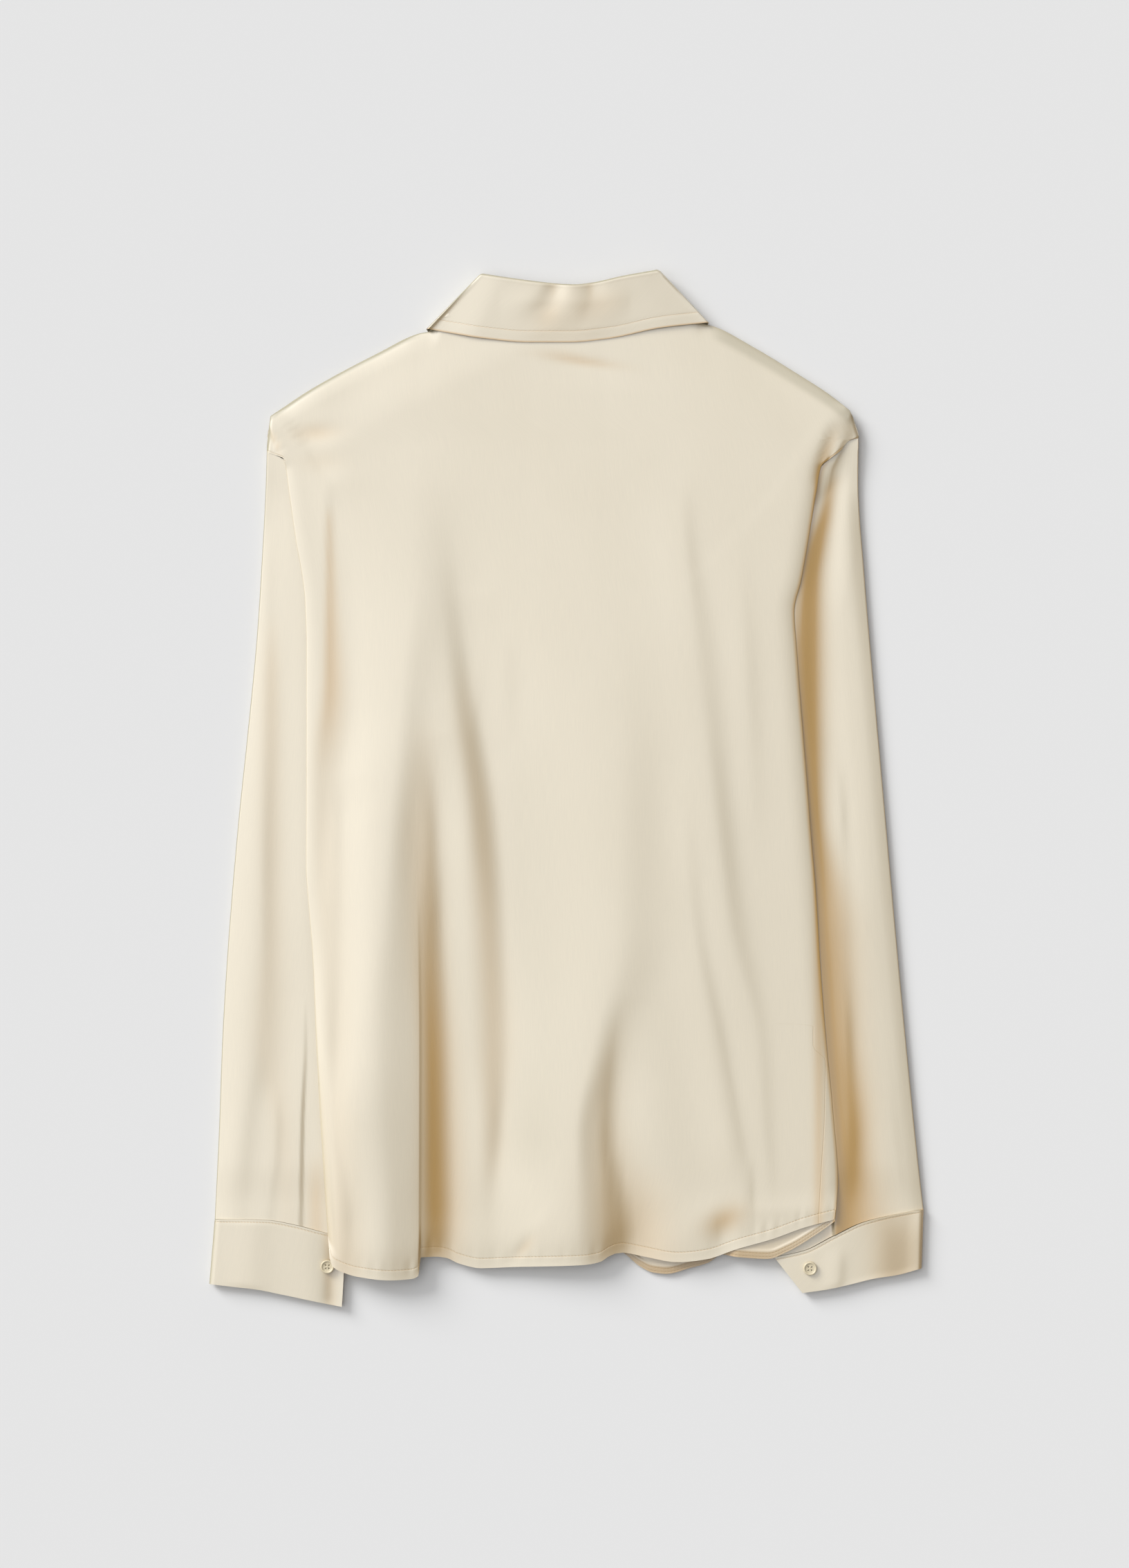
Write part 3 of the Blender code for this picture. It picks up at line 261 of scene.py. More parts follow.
# Height of the back where it has no folds
BACK_LEVEL = rows_of(Edge, (-345, 7.9), (-150, 8.1), (150, 8.2), (300, 8.4), (345, 8.8))
BACK_FOLDS = named_folds(
    side_valley=(
        (222, -168, 3, 18, 0), (200, -168, 3.5, 24, -0.8), (120, -167, 4.5, 36, -1.9),
        (60, -166, 6, 36, -2.6), (0, -172, 8, 30, -1.4), (-40, -174, 8, 26, -0.5), (-80, -172, 8, 20, 0),
    ),
    low_side_valley=(
        (10, -161, 5, 18, 0), (-20, -161, 5, 18, -0.7), (-60, -160, 7, 18, -0.8), (-110, -161, 8, 20, -0.9),
        (-180, -163, 8, 24, -1.6), (-230, -164, 8, 26, -0.9), (-310, -153, 8, 16, -1.7),
        (-345, -153, 8, 16, -1.2),
    ),
    valley_c=(
        (40, -92, 12, 16, 0), (-25, -90, 9, 16, -1.9), (-100, -86.5, 12, 26, -3),
        (-180, -81.5, 15.5, 40, -3.3), (-300, -79, 17, 44, -3.6), (-345, -79, 16, 44, -2.8),
    ),
    ridge_b=(
        (170, -95, 22, 14, 0), (80, -86, 22, 12, 1.1), (-20, -76, 22, 13, 1.9), (-100, -74, 28, 15, 1.7),
        (-180, -70, 32, 16, 1.4), (-250, -64, 34, 10, 1), (-310, -64, 32, 14, 0.4),
        (-345, -66, 32, 14, 0.2),
    ),
    valley_b=(
        (215, -84, 14, 20, 0), (139, -74, 13, 30, -0.8), (80, -66, 12, 44, -1.5), (-20, -48, 14, 72, -2.5),
        (-100, -42, 15, 76, -2.9), (-180, -40, 15, 74, -2.4), (-250, -45, 8.5, 66, -1.55),
        (-310, -50, 10, 56, -0.4), (-345, -50, 10, 56, -0.2),
    ),
    faint_fold=((120, -50, 16, 8, 0), (80, -46, 16, 8, 0.45), (30, -44, 16, 8, 0)),
    broad_arch=(
        (250, 10, 90, 90, 0), (0, 20, 90, 90, 2.2), (-120, 20, 90, 80, 3), (-200, 12, 90, 74, 3.8),
        (-260, 8, 90, 74, 3.6), (-345, 4, 90, 74, 3),
    ),
    middle_ridge=(
        (200, 20, 50, 40, 0), (80, 36, 60, 30, 0.8), (-20, 38, 60, 24, 1.5), (-100, 36, 60, 28, 1.7),
        (-180, 20, 50, 16, 1.5), (-250, 6, 45, 12, 2.2), (-310, 6, 40, 18, 2.6), (-345, 8, 36, 18, 2.2),
    ),
    valley_e=(
        (-150, 46, 10, 16, 0), (-180, 40, 9, 22, -0.6), (-215, 37, 9, 22, -1.4), (-250, 35, 8, 24, -2),
        (-290, 42, 10, 30, -2.8), (-320, 46, 12, 34, -3.2), (-341, 44, 12, 30, -2.8),
    ),
    blade_fold=(
        (230, 80, 24, 10, 0), (180, 84, 24, 8, 0.6), (80, 94, 28, 14, 1.2), (-20, 106, 26, 11, 1.5),
        (-100, 116, 24, 11, 1.3), (-180, 136, 22, 8, 0.6), (-250, 141, 20, 7, 0.5), (-310, 146, 16, 7, 0),
    ),
    side_blade_fold=(
        (180, 122, 18, 8, 0), (80, 128, 16, 9, 0.6), (0, 132, 16, 9, 0.3), (-60, 134, 16, 9, 0),
    ),
    long_crease=(
        (20, 82, 20, 8, 0), (-60, 86, 20, 8, 0.5), (-110, 92, 20, 7, 0.7), (-180, 106, 20, 7, 1),
        (-250, 118, 20, 7, 1), (-300, 126, 20, 7, 0.3), (-325, 129, 20, 7, 0),
    ),
    upright_crease=(
        (-262, 131, 6, 2.6, 0), (-290, 131, 6, 2.6, 0.35), (-318, 131, 6, 2.6, 0.6),
        (-335, 131, 6, 2.6, 0.5),
    ),
    armhole_valley=(
        (266, 197, 4, 5, 0), (252, 191.5, 4, 5, -1.1), (240, 187, 4, 5, -1.3), (228, 184, 4, 5, -1),
        (215, 181, 4, 5, 0),
    ),
    left_tuck=(
        (270, -214.5, 3, 3, 0), (258, -212, 3, 2.5, 0.5), (248, -208.5, 3, 2.5, 0.6),
        (240, -205, 3, 2.5, 0.3), (234, -203, 3, 2.5, 0),
    ),
    armhole_ridge=((268, 202, 5, 5, 0), (254, 199, 5, 4, 0.6), (240, 192, 4, 4, 0.6), (230, 188, 4, 4, 0)),
)
# Dimples and swellings: half sizes along and across, turned by so many degrees from level
BACK_SPOTS = rows_of(
    Spot, (-179, 257, 17, 7, 3, -0.7), (-176, 234, 20, 9, 0, -0.3), (120, -319, 15, 10, 30, -1.05),
    (106, -304, 16, 10, 30, 0.35), (12, 306, 26, 5, -8, -0.55), (20, 297, 34, 6, -6, -0.2),
    (-31, -330, 13, 4, 55, -0.45), (-22, -318, 16, 6, 50, 0.2), (52, -322, 22, 12, 80, -0.6),
)
# The lobe at the left of the hem: its crest, and the share of it that is cut off at its sharp edge
LOBE_CREST = named_folds(
    crest=(
        (250, -112, 46, 24, 0), (180, -112, 46, 26, 1.1), (80, -119, 44, 20, 2.5), (-20, -128, 38, 20, 3.8),
        (-100, -135, 38, 27, 5.2), (-180, -146, 34, 40, 7), (-250, -152, 32, 46, 8.2),
        (-352, -150, 32, 46, 8.2),
    ),
)
LOBE_CUT = rows_of(Edge, (-352, 1), (-180, 1), (-120, 0.8), (-60, 0), (345, 0))
LEFT_SLEEVE_FOLDS = named_folds(
    outer_ridge=(
        (190, -214, 4, 4, 0), (150, -217, 5, 5, 0.2), (80, -219, 8, 7, 0.45), (-20, -221, 12, 8, 0.7),
        (-100, -222, 16, 9, 0.9), (-180, -226, 18, 12, 1), (-250, -236, 12, 12, 0.8),
        (-300, -242, 10, 10, 0.3),
    ),
    swell=(
        (240, -201, 14, 20, 0.3), (150, -190, 16, 20, 1.2), (-57, -187, 18, 20, 1.8),
        (-180, -181, 20, 20, 1.6), (-320, -172, 20, 20, 0.8),
    ),
    low_fold=((-215, -212, 10, 5, 0), (-245, -211, 12, 5, 0.5), (-310, -217, 12, 5, 0.4)),
    pleat=(
        (-150, -190, 16, 1.6, 0), (-180, -189.5, 16, 1.4, 0.35), (-240, -191.6, 16, 1.2, 0.8),
        (-315, -192.8, 16, 1.2, 0.75),
    ),
)
RIGHT_SLEEVE_FOLDS = named_folds(
    outer_ridge=(
        (240, 205, 5, 4, 0), (180, 201, 8, 8, 0.7), (80, 208, 16, 9, 0.3), (-20, 216, 14, 10, 0.5),
        (-100, 220, 18, 12, 0.6), (-180, 228, 22, 12, 0.5), (-250, 234, 16, 9, 0.6),
        (-310, 244, 18, 8, 0.3),
    ),
    middle_ridge=(
        (30, 192, 12, 7, 0), (-20, 197, 10, 5, 0.6), (-60, 198, 10, 7, 0.3), (-120, 198, 12, 8, 0.3),
        (-180, 201, 12, 5, 0.6), (-215, 202, 12, 6, 0.5), (-250, 203, 10, 7, 0.6), (-290, 201, 10, 8, 0.3),
        (-320, 200, 10, 8, 0),
    ),
    swell=(
        (240, 194, 14, 6, 0.2), (214, 183, 14, 10, 1.5), (195, 176.5, 14, 12.5, 2.6),
        (180, 171, 14, 14.5, 3.3), (150, 166, 16, 14.5, 3.8), (80, 163.5, 16, 16, 4.2),
        (-20, 168, 16, 16.5, 4), (-100, 171, 20, 25, 4.3), (-180, 176, 20, 26, 4.5),
        (-250, 182, 20, 28, 4.7), (-310, 180, 20, 30, 4.6),
    ),
)
CUFF_LEFT_FOLDS = named_folds(
    fold=((-318, -170, 5, 7, -0.3), (-345, -169, 5, 8, -0.9), (-376, -170, 5, 8, -0.9)),
    soft_ridge=((-312, -226, 16, 12, 0.5), (-362, -230, 16, 14, 0.6)),
)
CUFF_RIGHT_FOLDS = named_folds(
    lean=((-300, 248, 34, 9, -0.3), (-325, 244, 34, 8, -0.8), (-370, 244, 34, 8, -0.9)),
    lap=((-330, 196, 9, 5, 0), (-345, 196, 9, 5, 0.5), (-365, 194, 9, 5, 0.6)),
)
LEAF_FOLDS = named_folds(
    notch_left=(
        (368, -6, 6, 6, -0.6), (360, -8, 8, 7, -1.1), (350, -12, 11, 9, -1.1), (340, -17, 13, 10, -0.6),
        (330, -20, 14, 10, 0),
    ),
    notch_right=(
        (370, 19, 6, 7, -0.6), (360, 19, 7, 9, -0.9), (350, 19, 8, 14, -0.8), (340, 17, 9, 16, -0.4),
        (332, 16, 9, 16, 0),
    ),
    between=((372, 3, 7, 7, 0), (360, 2, 7, 7, 0.35), (345, 1, 7, 7, 0)),
)
# Folds that run across the leaf, so y and x change places
LEAF_CREASES = named_folds(
    rolled_middle=((-48, 350, 16, 8, 0), (-18, 349, 18, 9, 0.9), (14, 349, 18, 9, 1), (46, 352, 16, 8, 0)),
)

# ---- painted shade ----

# Painted golden shade: down in the folds, in the shadow of the body's edges, on the leaning part of the right
# cuff and on the fronts' hem under the back's hem; the height is a strength
BACK_GOLDEN_SHADE = named_folds(
    valley_c=(
        (60, -102, 12, 10, 0), (-20, -102, 14, 11, 0.25), (-100, -99, 13, 11, 0.5),
        (-200, -96, 9, 14, 0.85), (-300, -94, 10, 17, 0.85), (-345, -93, 10, 16, 0.4),
    ),
    valley_b=(
        (100, -76, 8, 9, 0), (60, -74, 9, 9, 0.12), (-20, -62, 10, 10, 0.26), (-100, -57, 10, 10, 0.3),
        (-180, -53, 10, 12, 0.3), (-250, -53, 8, 8, 0.25), (-300, -56, 8, 8, 0.05), (-345, -56, 8, 8, 0),
    ),
    valley_e=(
        (-160, 36, 8, 12, 0), (-230, 28, 12, 12, 0.2), (-310, 32, 16, 26, 0.35), (-340, 34, 16, 26, 0.2),
    ),
    side_valley=(
        (206, -171.6, 2.5, 3, 0), (190, -171.6, 2.5, 3.5, 0.35), (150, -171, 3, 5, 0.5),
        (80, -171, 4.5, 9, 0.62), (0, -176, 8, 12, 0.12), (-180, -168, 8, 14, 0.12),
        (-250, -165, 10, 14, 0.15), (-345, -160, 12, 14, 0.3),
    ),
    right_of_e=((-270, 56, 16, 20, 0), (-310, 58, 16, 20, 0.22), (-345, 60, 18, 20, 0.32)),
    armhole=((264, 198, 4, 4, 0), (250, 191, 4, 4, 0.35), (238, 186, 4, 4, 0.6), (226, 182, 4, 4, 0.5)),
)
# Spots of painted golden shade in dimples and creases: half sizes along and across, turn, strength
BACK_SHADE_SPOTS = rows_of(
    Spot, (114, -311, 14, 8.5, 30, 0.6), (-181, 256.5, 15, 6, 2, 0.32), (-178, 236, 16, 8, 0, 0.1),
    (-210, 250, 9, 1.8, -66, 0.3), (-30, -331, 9, 3.5, 50, 0.25), (10, 308.5, 26, 3.2, -8, 0.45),
    (-4, 314.5, 16, 2.5, -6, 0.12),
)
LEFT_SLEEVE_GOLDEN_SHADE = named_folds(
    soft_band=(
        (130, -213, 5, 5, 0), (80, -213, 6, 6, 0.22), (-20, -213, 8, 8, 0.16), (-100, -213, 8, 9, 0.16),
        (-180, -217, 10, 14, 0.14), (-250, -205, 8, 8, 0.12), (-310, -202, 8, 8, 0.08),
    ),
    beside_body=((-260, -181, 6, 6, 0), (-300, -181, 6, 6, 0.4), (-330, -180, 6, 6, 0.4)),
)
RIGHT_SLEEVE_GOLDEN_SHADE = named_folds(
    beside_body=(
        (228, 196, 4, 4, 0), (214, 190, 4, 5, 0.6), (195, 186, 5, 6, 0.9), (180, 182, 7, 7, 1),
        (150, 176, 8, 9, 1.1), (80, 173, 8, 12, 1.2), (-20, 178, 8, 9, 1), (-100, 188, 8, 18, 0.8),
        (-180, 196, 10, 16, 0.85), (-250, 206, 14, 14, 0.95), (-310, 203, 12, 24, 0.95),
    ),
    along_the_body=(
        (256, 196, 1.5, 2, 0), (240, 189.5, 1.5, 2, 0.5), (228, 183.5, 1.5, 2, 0.6),
        (205, 179.5, 1.5, 2, 0.6), (172, 174, 2, 2, 0.3), (128, 166, 2, 2, 0.3), (7, 175, 2, 2.5, 0.5),
        (-73, 181.5, 2, 3.5, 0.8), (-187, 189.5, 2, 4, 0.8), (-283, 197.5, 2, 4, 0.7),
        (-330, 196, 2, 4, 0.5),
    ),
)
CUFF_LEFT_GOLDEN_SHADE = named_folds(
    fold=((-315, -172, 5, 5, 0.2), (-345, -171, 5, 5, 0.3), (-375, -171, 5, 5, 0.3)),
)
CUFF_RIGHT_GOLDEN_SHADE = named_folds(
    leaning_part=((-305, 232, 16, 30, 0.2), (-332, 238, 16, 22, 0.55), (-365, 238, 16, 22, 0.6)),
)
FRONT_GOLDEN_SHADE = named_folds(
    wrong_side=((-300, 80, 60, 130, 0), (-315, 80, 60, 130, 0.85), (-355, 80, 60, 130, 0.85)),
)
LEAF_GOLDEN_SHADE = named_folds(
    notches=((372, 4, 22, 22, 0.05), (345, 2, 28, 30, 0.1), (320, 0, 30, 30, 0.08)),
)
# Spots of painted golden shade in the leaf's wrinkles
LEAF_SHADE_SPOTS = rows_of(
    Spot, (-13, 341, 11, 8, 60, 0.2), (25, 349, 15, 9, 20, 0.17), (-9, 360, 7, 2.5, 70, 0.15),
    (17, 360, 7, 2.5, 90, 0.15),
)
# Painted olive shade: beside the deep valleys and the lobe, in the shadow of the body, on the right cuff's
# leaning part and on the fronts' wrong side where it shows below the back's hem
BACK_SHADE = named_folds(
    between_valleys=(
        (60, -88, 10, 12, 0), (-20, -82, 12, 13, 0.14), (-100, -79, 13, 15, 0.13), (-180, -74, 14, 16, 0.1),
        (-260, -72, 16, 18, 0.1), (-310, -62, 18, 30, 0.16), (-345, -62, 18, 30, 0.16),
    ),
    right_of_b=(
        (60, -25, 18, 30, 0), (-20, -30, 18, 36, 0.1), (-180, -24, 18, 30, 0.13), (-250, -26, 22, 22, 0.23),
        (-300, -26, 20, 24, 0.05), (-345, -26, 20, 24, 0),
    ),
    lobe=(
        (-60, -176, 5, 10, 0), (-100, -172, 6, 12, 0.06), (-180, -171, 6, 14, 0.12),
        (-250, -160, 20, 20, 0.06), (-310, -160, 20, 20, 0.14), (-345, -155, 20, 20, 0.08),
    ),
)
RIGHT_SLEEVE_SHADE = named_folds(
    along_the_body=(
        (190, 177, 2, 2, 0), (172, 174, 2, 3, 0.1), (128, 166, 2, 3, 0.35), (7, 175, 2, 2.5, 0.2),
        (-73, 181.5, 2, 3.5, 0.42), (-187, 189.5, 2, 4, 0.5), (-250, 195.5, 2, 3, 0.45),
        (-283, 197.5, 2, 5, 0.35), (-330, 196, 2, 6, 0.3),
    ),
)
CUFF_LEFT_SHADE = named_folds(
    beside_body=((-310, -180, 8, 12, 0.1), (-345, -178, 8, 12, 0.2), (-375, -176, 8, 12, 0.2)),
)
CUFF_RIGHT_SHADE = named_folds(
    leaning_part=((-305, 236, 10, 26, 0), (-330, 237, 12, 26, 0.45), (-365, 238, 12, 26, 0.5)),
)
FRONT_SHADE = named_folds(
    wrong_side=((-300, 80, 60, 130, 0.45), (-355, 80, 60, 130, 0.45)),
)


# ---- curves and heights ----


def smooth(table, at):
    """Cubic through a table of (place, value) rows that never swings past them."""
    places, values = np.array(sorted((row[0], row[1]) for row in table), float).T
    gaps = np.diff(places)
    slopes = np.diff(values) / gaps
    tangents = np.zeros_like(values)
    tangents[0], tangents[-1] = slopes[0], slopes[-1]
    same_way = slopes[:-1] * slopes[1:] > 0
    tangents[1:-1][same_way] = 2.0 / (1.0 / slopes[:-1][same_way] + 1.0 / slopes[1:][same_way])
    at = np.clip(np.asarray(at, float), places[0], places[-1])
    k = np.clip(np.searchsorted(places, at, side="right") - 1, 0, len(places) - 2)
    h = gaps[k]
    t = (at - places[k]) / h
    return (
        values[k] * (1 + 2 * t) * (1 - t) ** 2
        + tangents[k] * h * t * (1 - t) ** 2
        + values[k + 1] * t * t * (3 - 2 * t)
        + tangents[k + 1] * h * t * t * (t - 1)
    )


def column(table, place, field):
    """Two named columns of a table, for smooth."""
    return [(getattr(row, place), getattr(row, field)) for row in table]


def across(a, b, share):
    return a + (b - a) * share


def step(t):
    """0 below 0, 1 above 1, with a soft change between them."""
    t = np.clip(t, 0.0, 1.0)
    return t * t * (3.0 - 2.0 * t)


def bell(t):
    """1 at 0, and next to nothing from 2 on."""
    return np.exp(-(t ** 2))


def soft_max(a, b, blend):
    """The larger of two heights, rounded where they cross."""
    return 0.5 * (a + b + np.sqrt((a - b) ** 2 + blend * blend))


def excess(t):
    """How far a height passes a limit, easing in so that what lies flat stays flat."""
    t = np.maximum(t, 0.0)
    return t * t / (t + 0.6)


def rounding(away, radius):
    """Section of a rolled edge: 0 on the edge, 1 at the radius and beyond."""
    t = np.clip(away / radius, 0.0, 1.0)
    return np.sqrt(1.0 - (1.0 - t) ** 2)


def soft_edge(away, reach):
    """Section of a gently turned edge: 0 on the edge, 1 at the reach and beyond."""
    t = np.clip(away / reach, 0.0, 1.0)
    return 0.45 * np.sqrt(1.0 - (1.0 - t) ** 8) + 0.55 * (1.0 - (1.0 - t) ** 2)


def side_edge(away, reach):
    """Section of the body's side fold: a long gentle fall and a tight turn at its very edge."""
    t = np.clip(away / reach, 0.0, 1.0)
    return 0.3 * rounding(away, 1.2) + 0.7 * (1.0 - (1.0 - t) ** 2)


def folds_height(folds, x, y):
    """Sum of the folds' heights at x, y."""
    total = np.zeros(np.broadcast(x, y).shape)
    for fold in folds.values():
        crest, left, right, height = (smooth(column(fold, "y", field), y) for field in Station._fields[1:])
        away = x - crest
        total = total + height * bell(away / np.where(away < 0, left, right))
    return total


def spots_height(spots, x, y):
    """Sum of the spots' heights at x, y."""
    total = np.zeros(np.broadcast(x, y).shape)
    for spot in spots:
        turn = math.radians(spot.turn)
        along = (x - spot.x) * math.cos(turn) + (y - spot.y) * math.sin(turn)
        over = (y - spot.y) * math.cos(turn) - (x - spot.x) * math.sin(turn)
        total = total + spot.height * np.exp(-((along / spot.along) ** 2) - (over / spot.across) ** 2)
    return total


def tint(table, x, y):
    """How strong a tint is at x, y, from 0 to 1."""
    return np.clip(folds_height(table, x, y), 0.0, 1.0)


def lobe_height(x, y):
    """The lobe: a broad crest whose right flank ends at a sharp edge."""
    edge = x - smooth(LOBE_EDGE, y)
    drop = across(1.0, 0.45, step((-315.0 - y) / 30.0)) * LOBE_DROP
    past = np.maximum(edge, 0.0)
    fall = 0.88 * bell(past / drop) + 0.12 * bell(past / 1.6)
    return folds_height(LOBE_CREST, x, y) * across(1.0, fall, smooth(LOBE_CUT, y))


def side_fold_left(y):
    """Side fold of the body, which goes on up the shoulder inside the armhole seam."""
    return smooth(BODY_LEFT, np.minimum(y, ARMHOLE_LEFT)) - 0.4 * np.maximum(y - ARMHOLE_LEFT, 0.0)


def side_fold_right(y):
    return smooth(BODY_RIGHT, np.minimum(y, ARMHOLE_RIGHT)) + 0.55 * np.maximum(y - ARMHOLE_RIGHT, 0.0)


# ---- what lies under the fronts ----


def sleeve_cover(x, y, outer, inner, cap, into_body):
    """1 over the part of a sleeve that the body lies on, 0 well away from it."""
    edge, hidden = smooth(outer, y), smooth(inner, y)
    share = (x - edge) / (hidden - edge)
    inside = (1.0 - share) * np.abs(hidden - edge)
    below_cap = smooth(cap, share) - y
    return (
        step((inside + BODY_REACH) / BODY_SLOPE)
        * step((below_cap + BODY_REACH) / BODY_SLOPE)
        * step((into_body + 6.0) / 6.0)
    )


def under_fronts(x, y):
    """Height of the sleeves, cuffs, buttons and collar points that the fronts lie on."""
    left = sleeve_cover(x, y, SLEEVE_LEFT_OUTER, SLEEVE_LEFT_INNER, CAP_LEFT, x - side_fold_left(y))
    right = sleeve_cover(x, y, SLEEVE_RIGHT_OUTER, SLEEVE_RIGHT_INNER, CAP_RIGHT, side_fold_right(y) - x)
    cuff_rise = CUFF_RISE * step((CUFF_LINE - y) / 22.0)
    height = (SLEEVE_FLAT + cuff_rise) * np.maximum(left, right)
    placket = BUTTON_HEIGHT * step((PLACKET_HALF - np.abs(x)) / 16.0)
    collar = COLLAR_CLOTH * step((y - POINTS_LOW) / 20.0) * step((POINTS_HALF - np.abs(x)) / 18.0)
    return np.maximum.reduce([height, placket, collar])


# ---- the body ----


def from_shoulder(x, y):
    """Distance below the shoulder line."""
    return (smooth(BODY_TOP, x) - y) * SHOULDER_COSINE


def shoulder_outside(x, y):
    """Distance in from the outside of the shoulders, which the sleeves carry on downwards."""
    left = x - SHOULDER_LEFT.x - LEAN_LEFT * (y - SHOULDER_LEFT.y)
    return np.minimum(left, SHOULDER_RIGHT.x - x - LEAN_RIGHT * np.maximum(y - SHOULDER_RIGHT.y, 0.0))


def side_round(x, y, side_roll, top_roll):
    """0 on the body's side folds and shoulder lines, 1 where the layers lie flat."""
    past_seam = step((y - YOKE_LINE - 2.0) / 8.0)
    side = np.minimum(x - smooth(BODY_LEFT, y), smooth(BODY_RIGHT, y) - x)
    side = across(side_edge(side, side_roll), rounding(shoulder_outside(x, y), 2.6), past_seam)
    shoulder = np.where(np.abs(x) < LEAF_HALF, top_roll, from_shoulder(x, y))
    flat_corner = step((-316.0 - y) / 24.0) * (x < 0.0)
    return np.maximum(side * soft_edge(shoulder, top_roll), flat_corner)


def shoulder_sink(x, y):
    """How far the shirt thins out towards its shoulder lines."""
    half = np.abs(x)
    past_leaf = np.where(x < 0.0, -1.0, 1.0) * np.maximum(half, SINK_START)
    line = smooth(BODY_TOP, past_leaf) + 0.51 * np.maximum(SINK_START - half, 0.0)
    near = 1.0 - step((line - y) * SHOULDER_COSINE / SINK_REACH)
    return SHOULDER_SINK * near * step((SINK_END - half) / 80.0)


def front_lap(x):
    """1 where the left front crosses over the right one."""
    return step((70.0 - np.abs(x)) / 40.0)


def back_outer(x, y):
    """Height of the back's outer skin before it rounds into the side folds."""
    low = under_fronts(x, y) + 3.4 + LAP_LIFT * front_lap(x)
    into_body = np.minimum(x - side_fold_left(y), side_fold_right(y) - x)
    ramp = np.where(x < 0.0, step((into_body + 12.0) / 60.0), step((into_body + 22.0) / 36.0))
    level = across(SLEEVE_FULL, smooth(BACK_LEVEL, y), ramp)
    folds = folds_height(BACK_FOLDS, x, y) + lobe_height(x, y)
    folds = folds + spots_height(BACK_SPOTS, x, y)
    return soft_max(low, level + folds - shoulder_sink(x, y), 1.0)


def front_outer(x, y):
    """Height of the fronts' outer skin, which faces down."""
    support = under_fronts(x, y)
    support = support + 0.8 * step(support)
    return support + excess(back_outer(x, y) - 2.0 * CLOTH - MOST_AIR - support)


def middle(x, y):
    """Height between the layers; at the right side fold it lies close under the back."""
    near_right = step((x - side_fold_right(y) + 16.0) / 12.0)
    return across(front_outer(x, y), back_outer(x, y), 0.5 + 0.26 * near_right)


def back_skin(x, y):
    centre = middle(x, y) + 0.5 * SEAM
    side_roll = np.where(x < 0.0, BACK_ROLL_LEFT, BACK_ROLL_RIGHT)
    return centre + (back_outer(x, y) - centre) * side_round(x, y, side_roll, TOP_ROLL)


def front_skin(x, y):
    centre = middle(x, y) - 0.5 * SEAM
    return centre + (front_outer(x, y) - centre) * side_round(x, y, SIDE_ROLL, SIDE_ROLL)


# ---- grids and meshes ----


def crowded(count, *spots):
    """Shares from 0 to 1 that crowd together at the spots, each (share, width, strength)."""
    t = np.linspace(0.0, 1.0, 8001)
    density = np.ones_like(t)
    for at, width, strength in spots:
        density += strength * bell((t - at) / width)
    total = np.concatenate([[0.0], np.cumsum(0.5 * (density[1:] + density[:-1]))])
    return np.interp(np.linspace(0.0, 1.0, count), total / total[-1], t)


def normals(grid, closed):
    """Unit normals of a grid of points, rows by columns."""
    if closed:
        along = np.roll(grid, -1, axis=1) - np.roll(grid, 1, axis=1)
    else:
        along = np.gradient(grid, axis=1)
    cross = np.cross(along, np.gradient(grid, axis=0))
    return cross / np.maximum(np.linalg.norm(cross, axis=2, keepdims=True), 1e-9)


def run_lengths(grid, axis):
    """Distance along the cloth from the first row or column."""
    steps = np.diff(grid, axis=axis, prepend=np.take(grid, [0], axis=axis))
    return np.cumsum(np.linalg.norm(steps, axis=2), axis=axis)


def wall_quads(rows, cols, closed):
    """Quads of a wall whose inner skin repeats the outer one's points, in order."""
    index = np.arange(rows * cols).reshape(rows, cols)
    if closed:
        index = np.concatenate([index, index[:, :1]], axis=1)
    outer = np.stack([index[:-1, :-1], index[:-1, 1:], index[1:, 1:], index[1:, :-1]], axis=-1).reshape(-1, 4)
    count = rows * cols
    parts = [outer, count + outer[:, ::-1]]
    rims = [(index[0, 1:], index[0, :-1]), (index[-1, :-1], index[-1, 1:])]
    if not closed:
        rims += [(index[:-1, 0], index[1:, 0]), (index[1:, -1], index[:-1, -1])]
    parts += [np.stack([a, b, count + b, count + a], axis=-1) for a, b in rims]
    return np.concatenate(parts)


def signed_volume(points, quads):
    p = points[quads]
    first = np.einsum("ij,ij->i", p[:, 0], np.cross(p[:, 1], p[:, 2]))
    second = np.einsum("ij,ij->i", p[:, 0], np.cross(p[:, 2], p[:, 3]))
    return first.sum() + second.sum()


def add_object(name, mesh, finish, sharp):
    """Finish a mesh and put it in the scene; edges sharper than so many degrees stay sharp."""
    mesh.materials.append(finish)
    mesh.validate()
    mesh.shade_smooth()
    mesh.set_sharp_from_angle(angle=math.radians(sharp))
    made = bpy.data.objects.new(name, mesh)
    bpy.context.collection.objects.link(made)
    return made


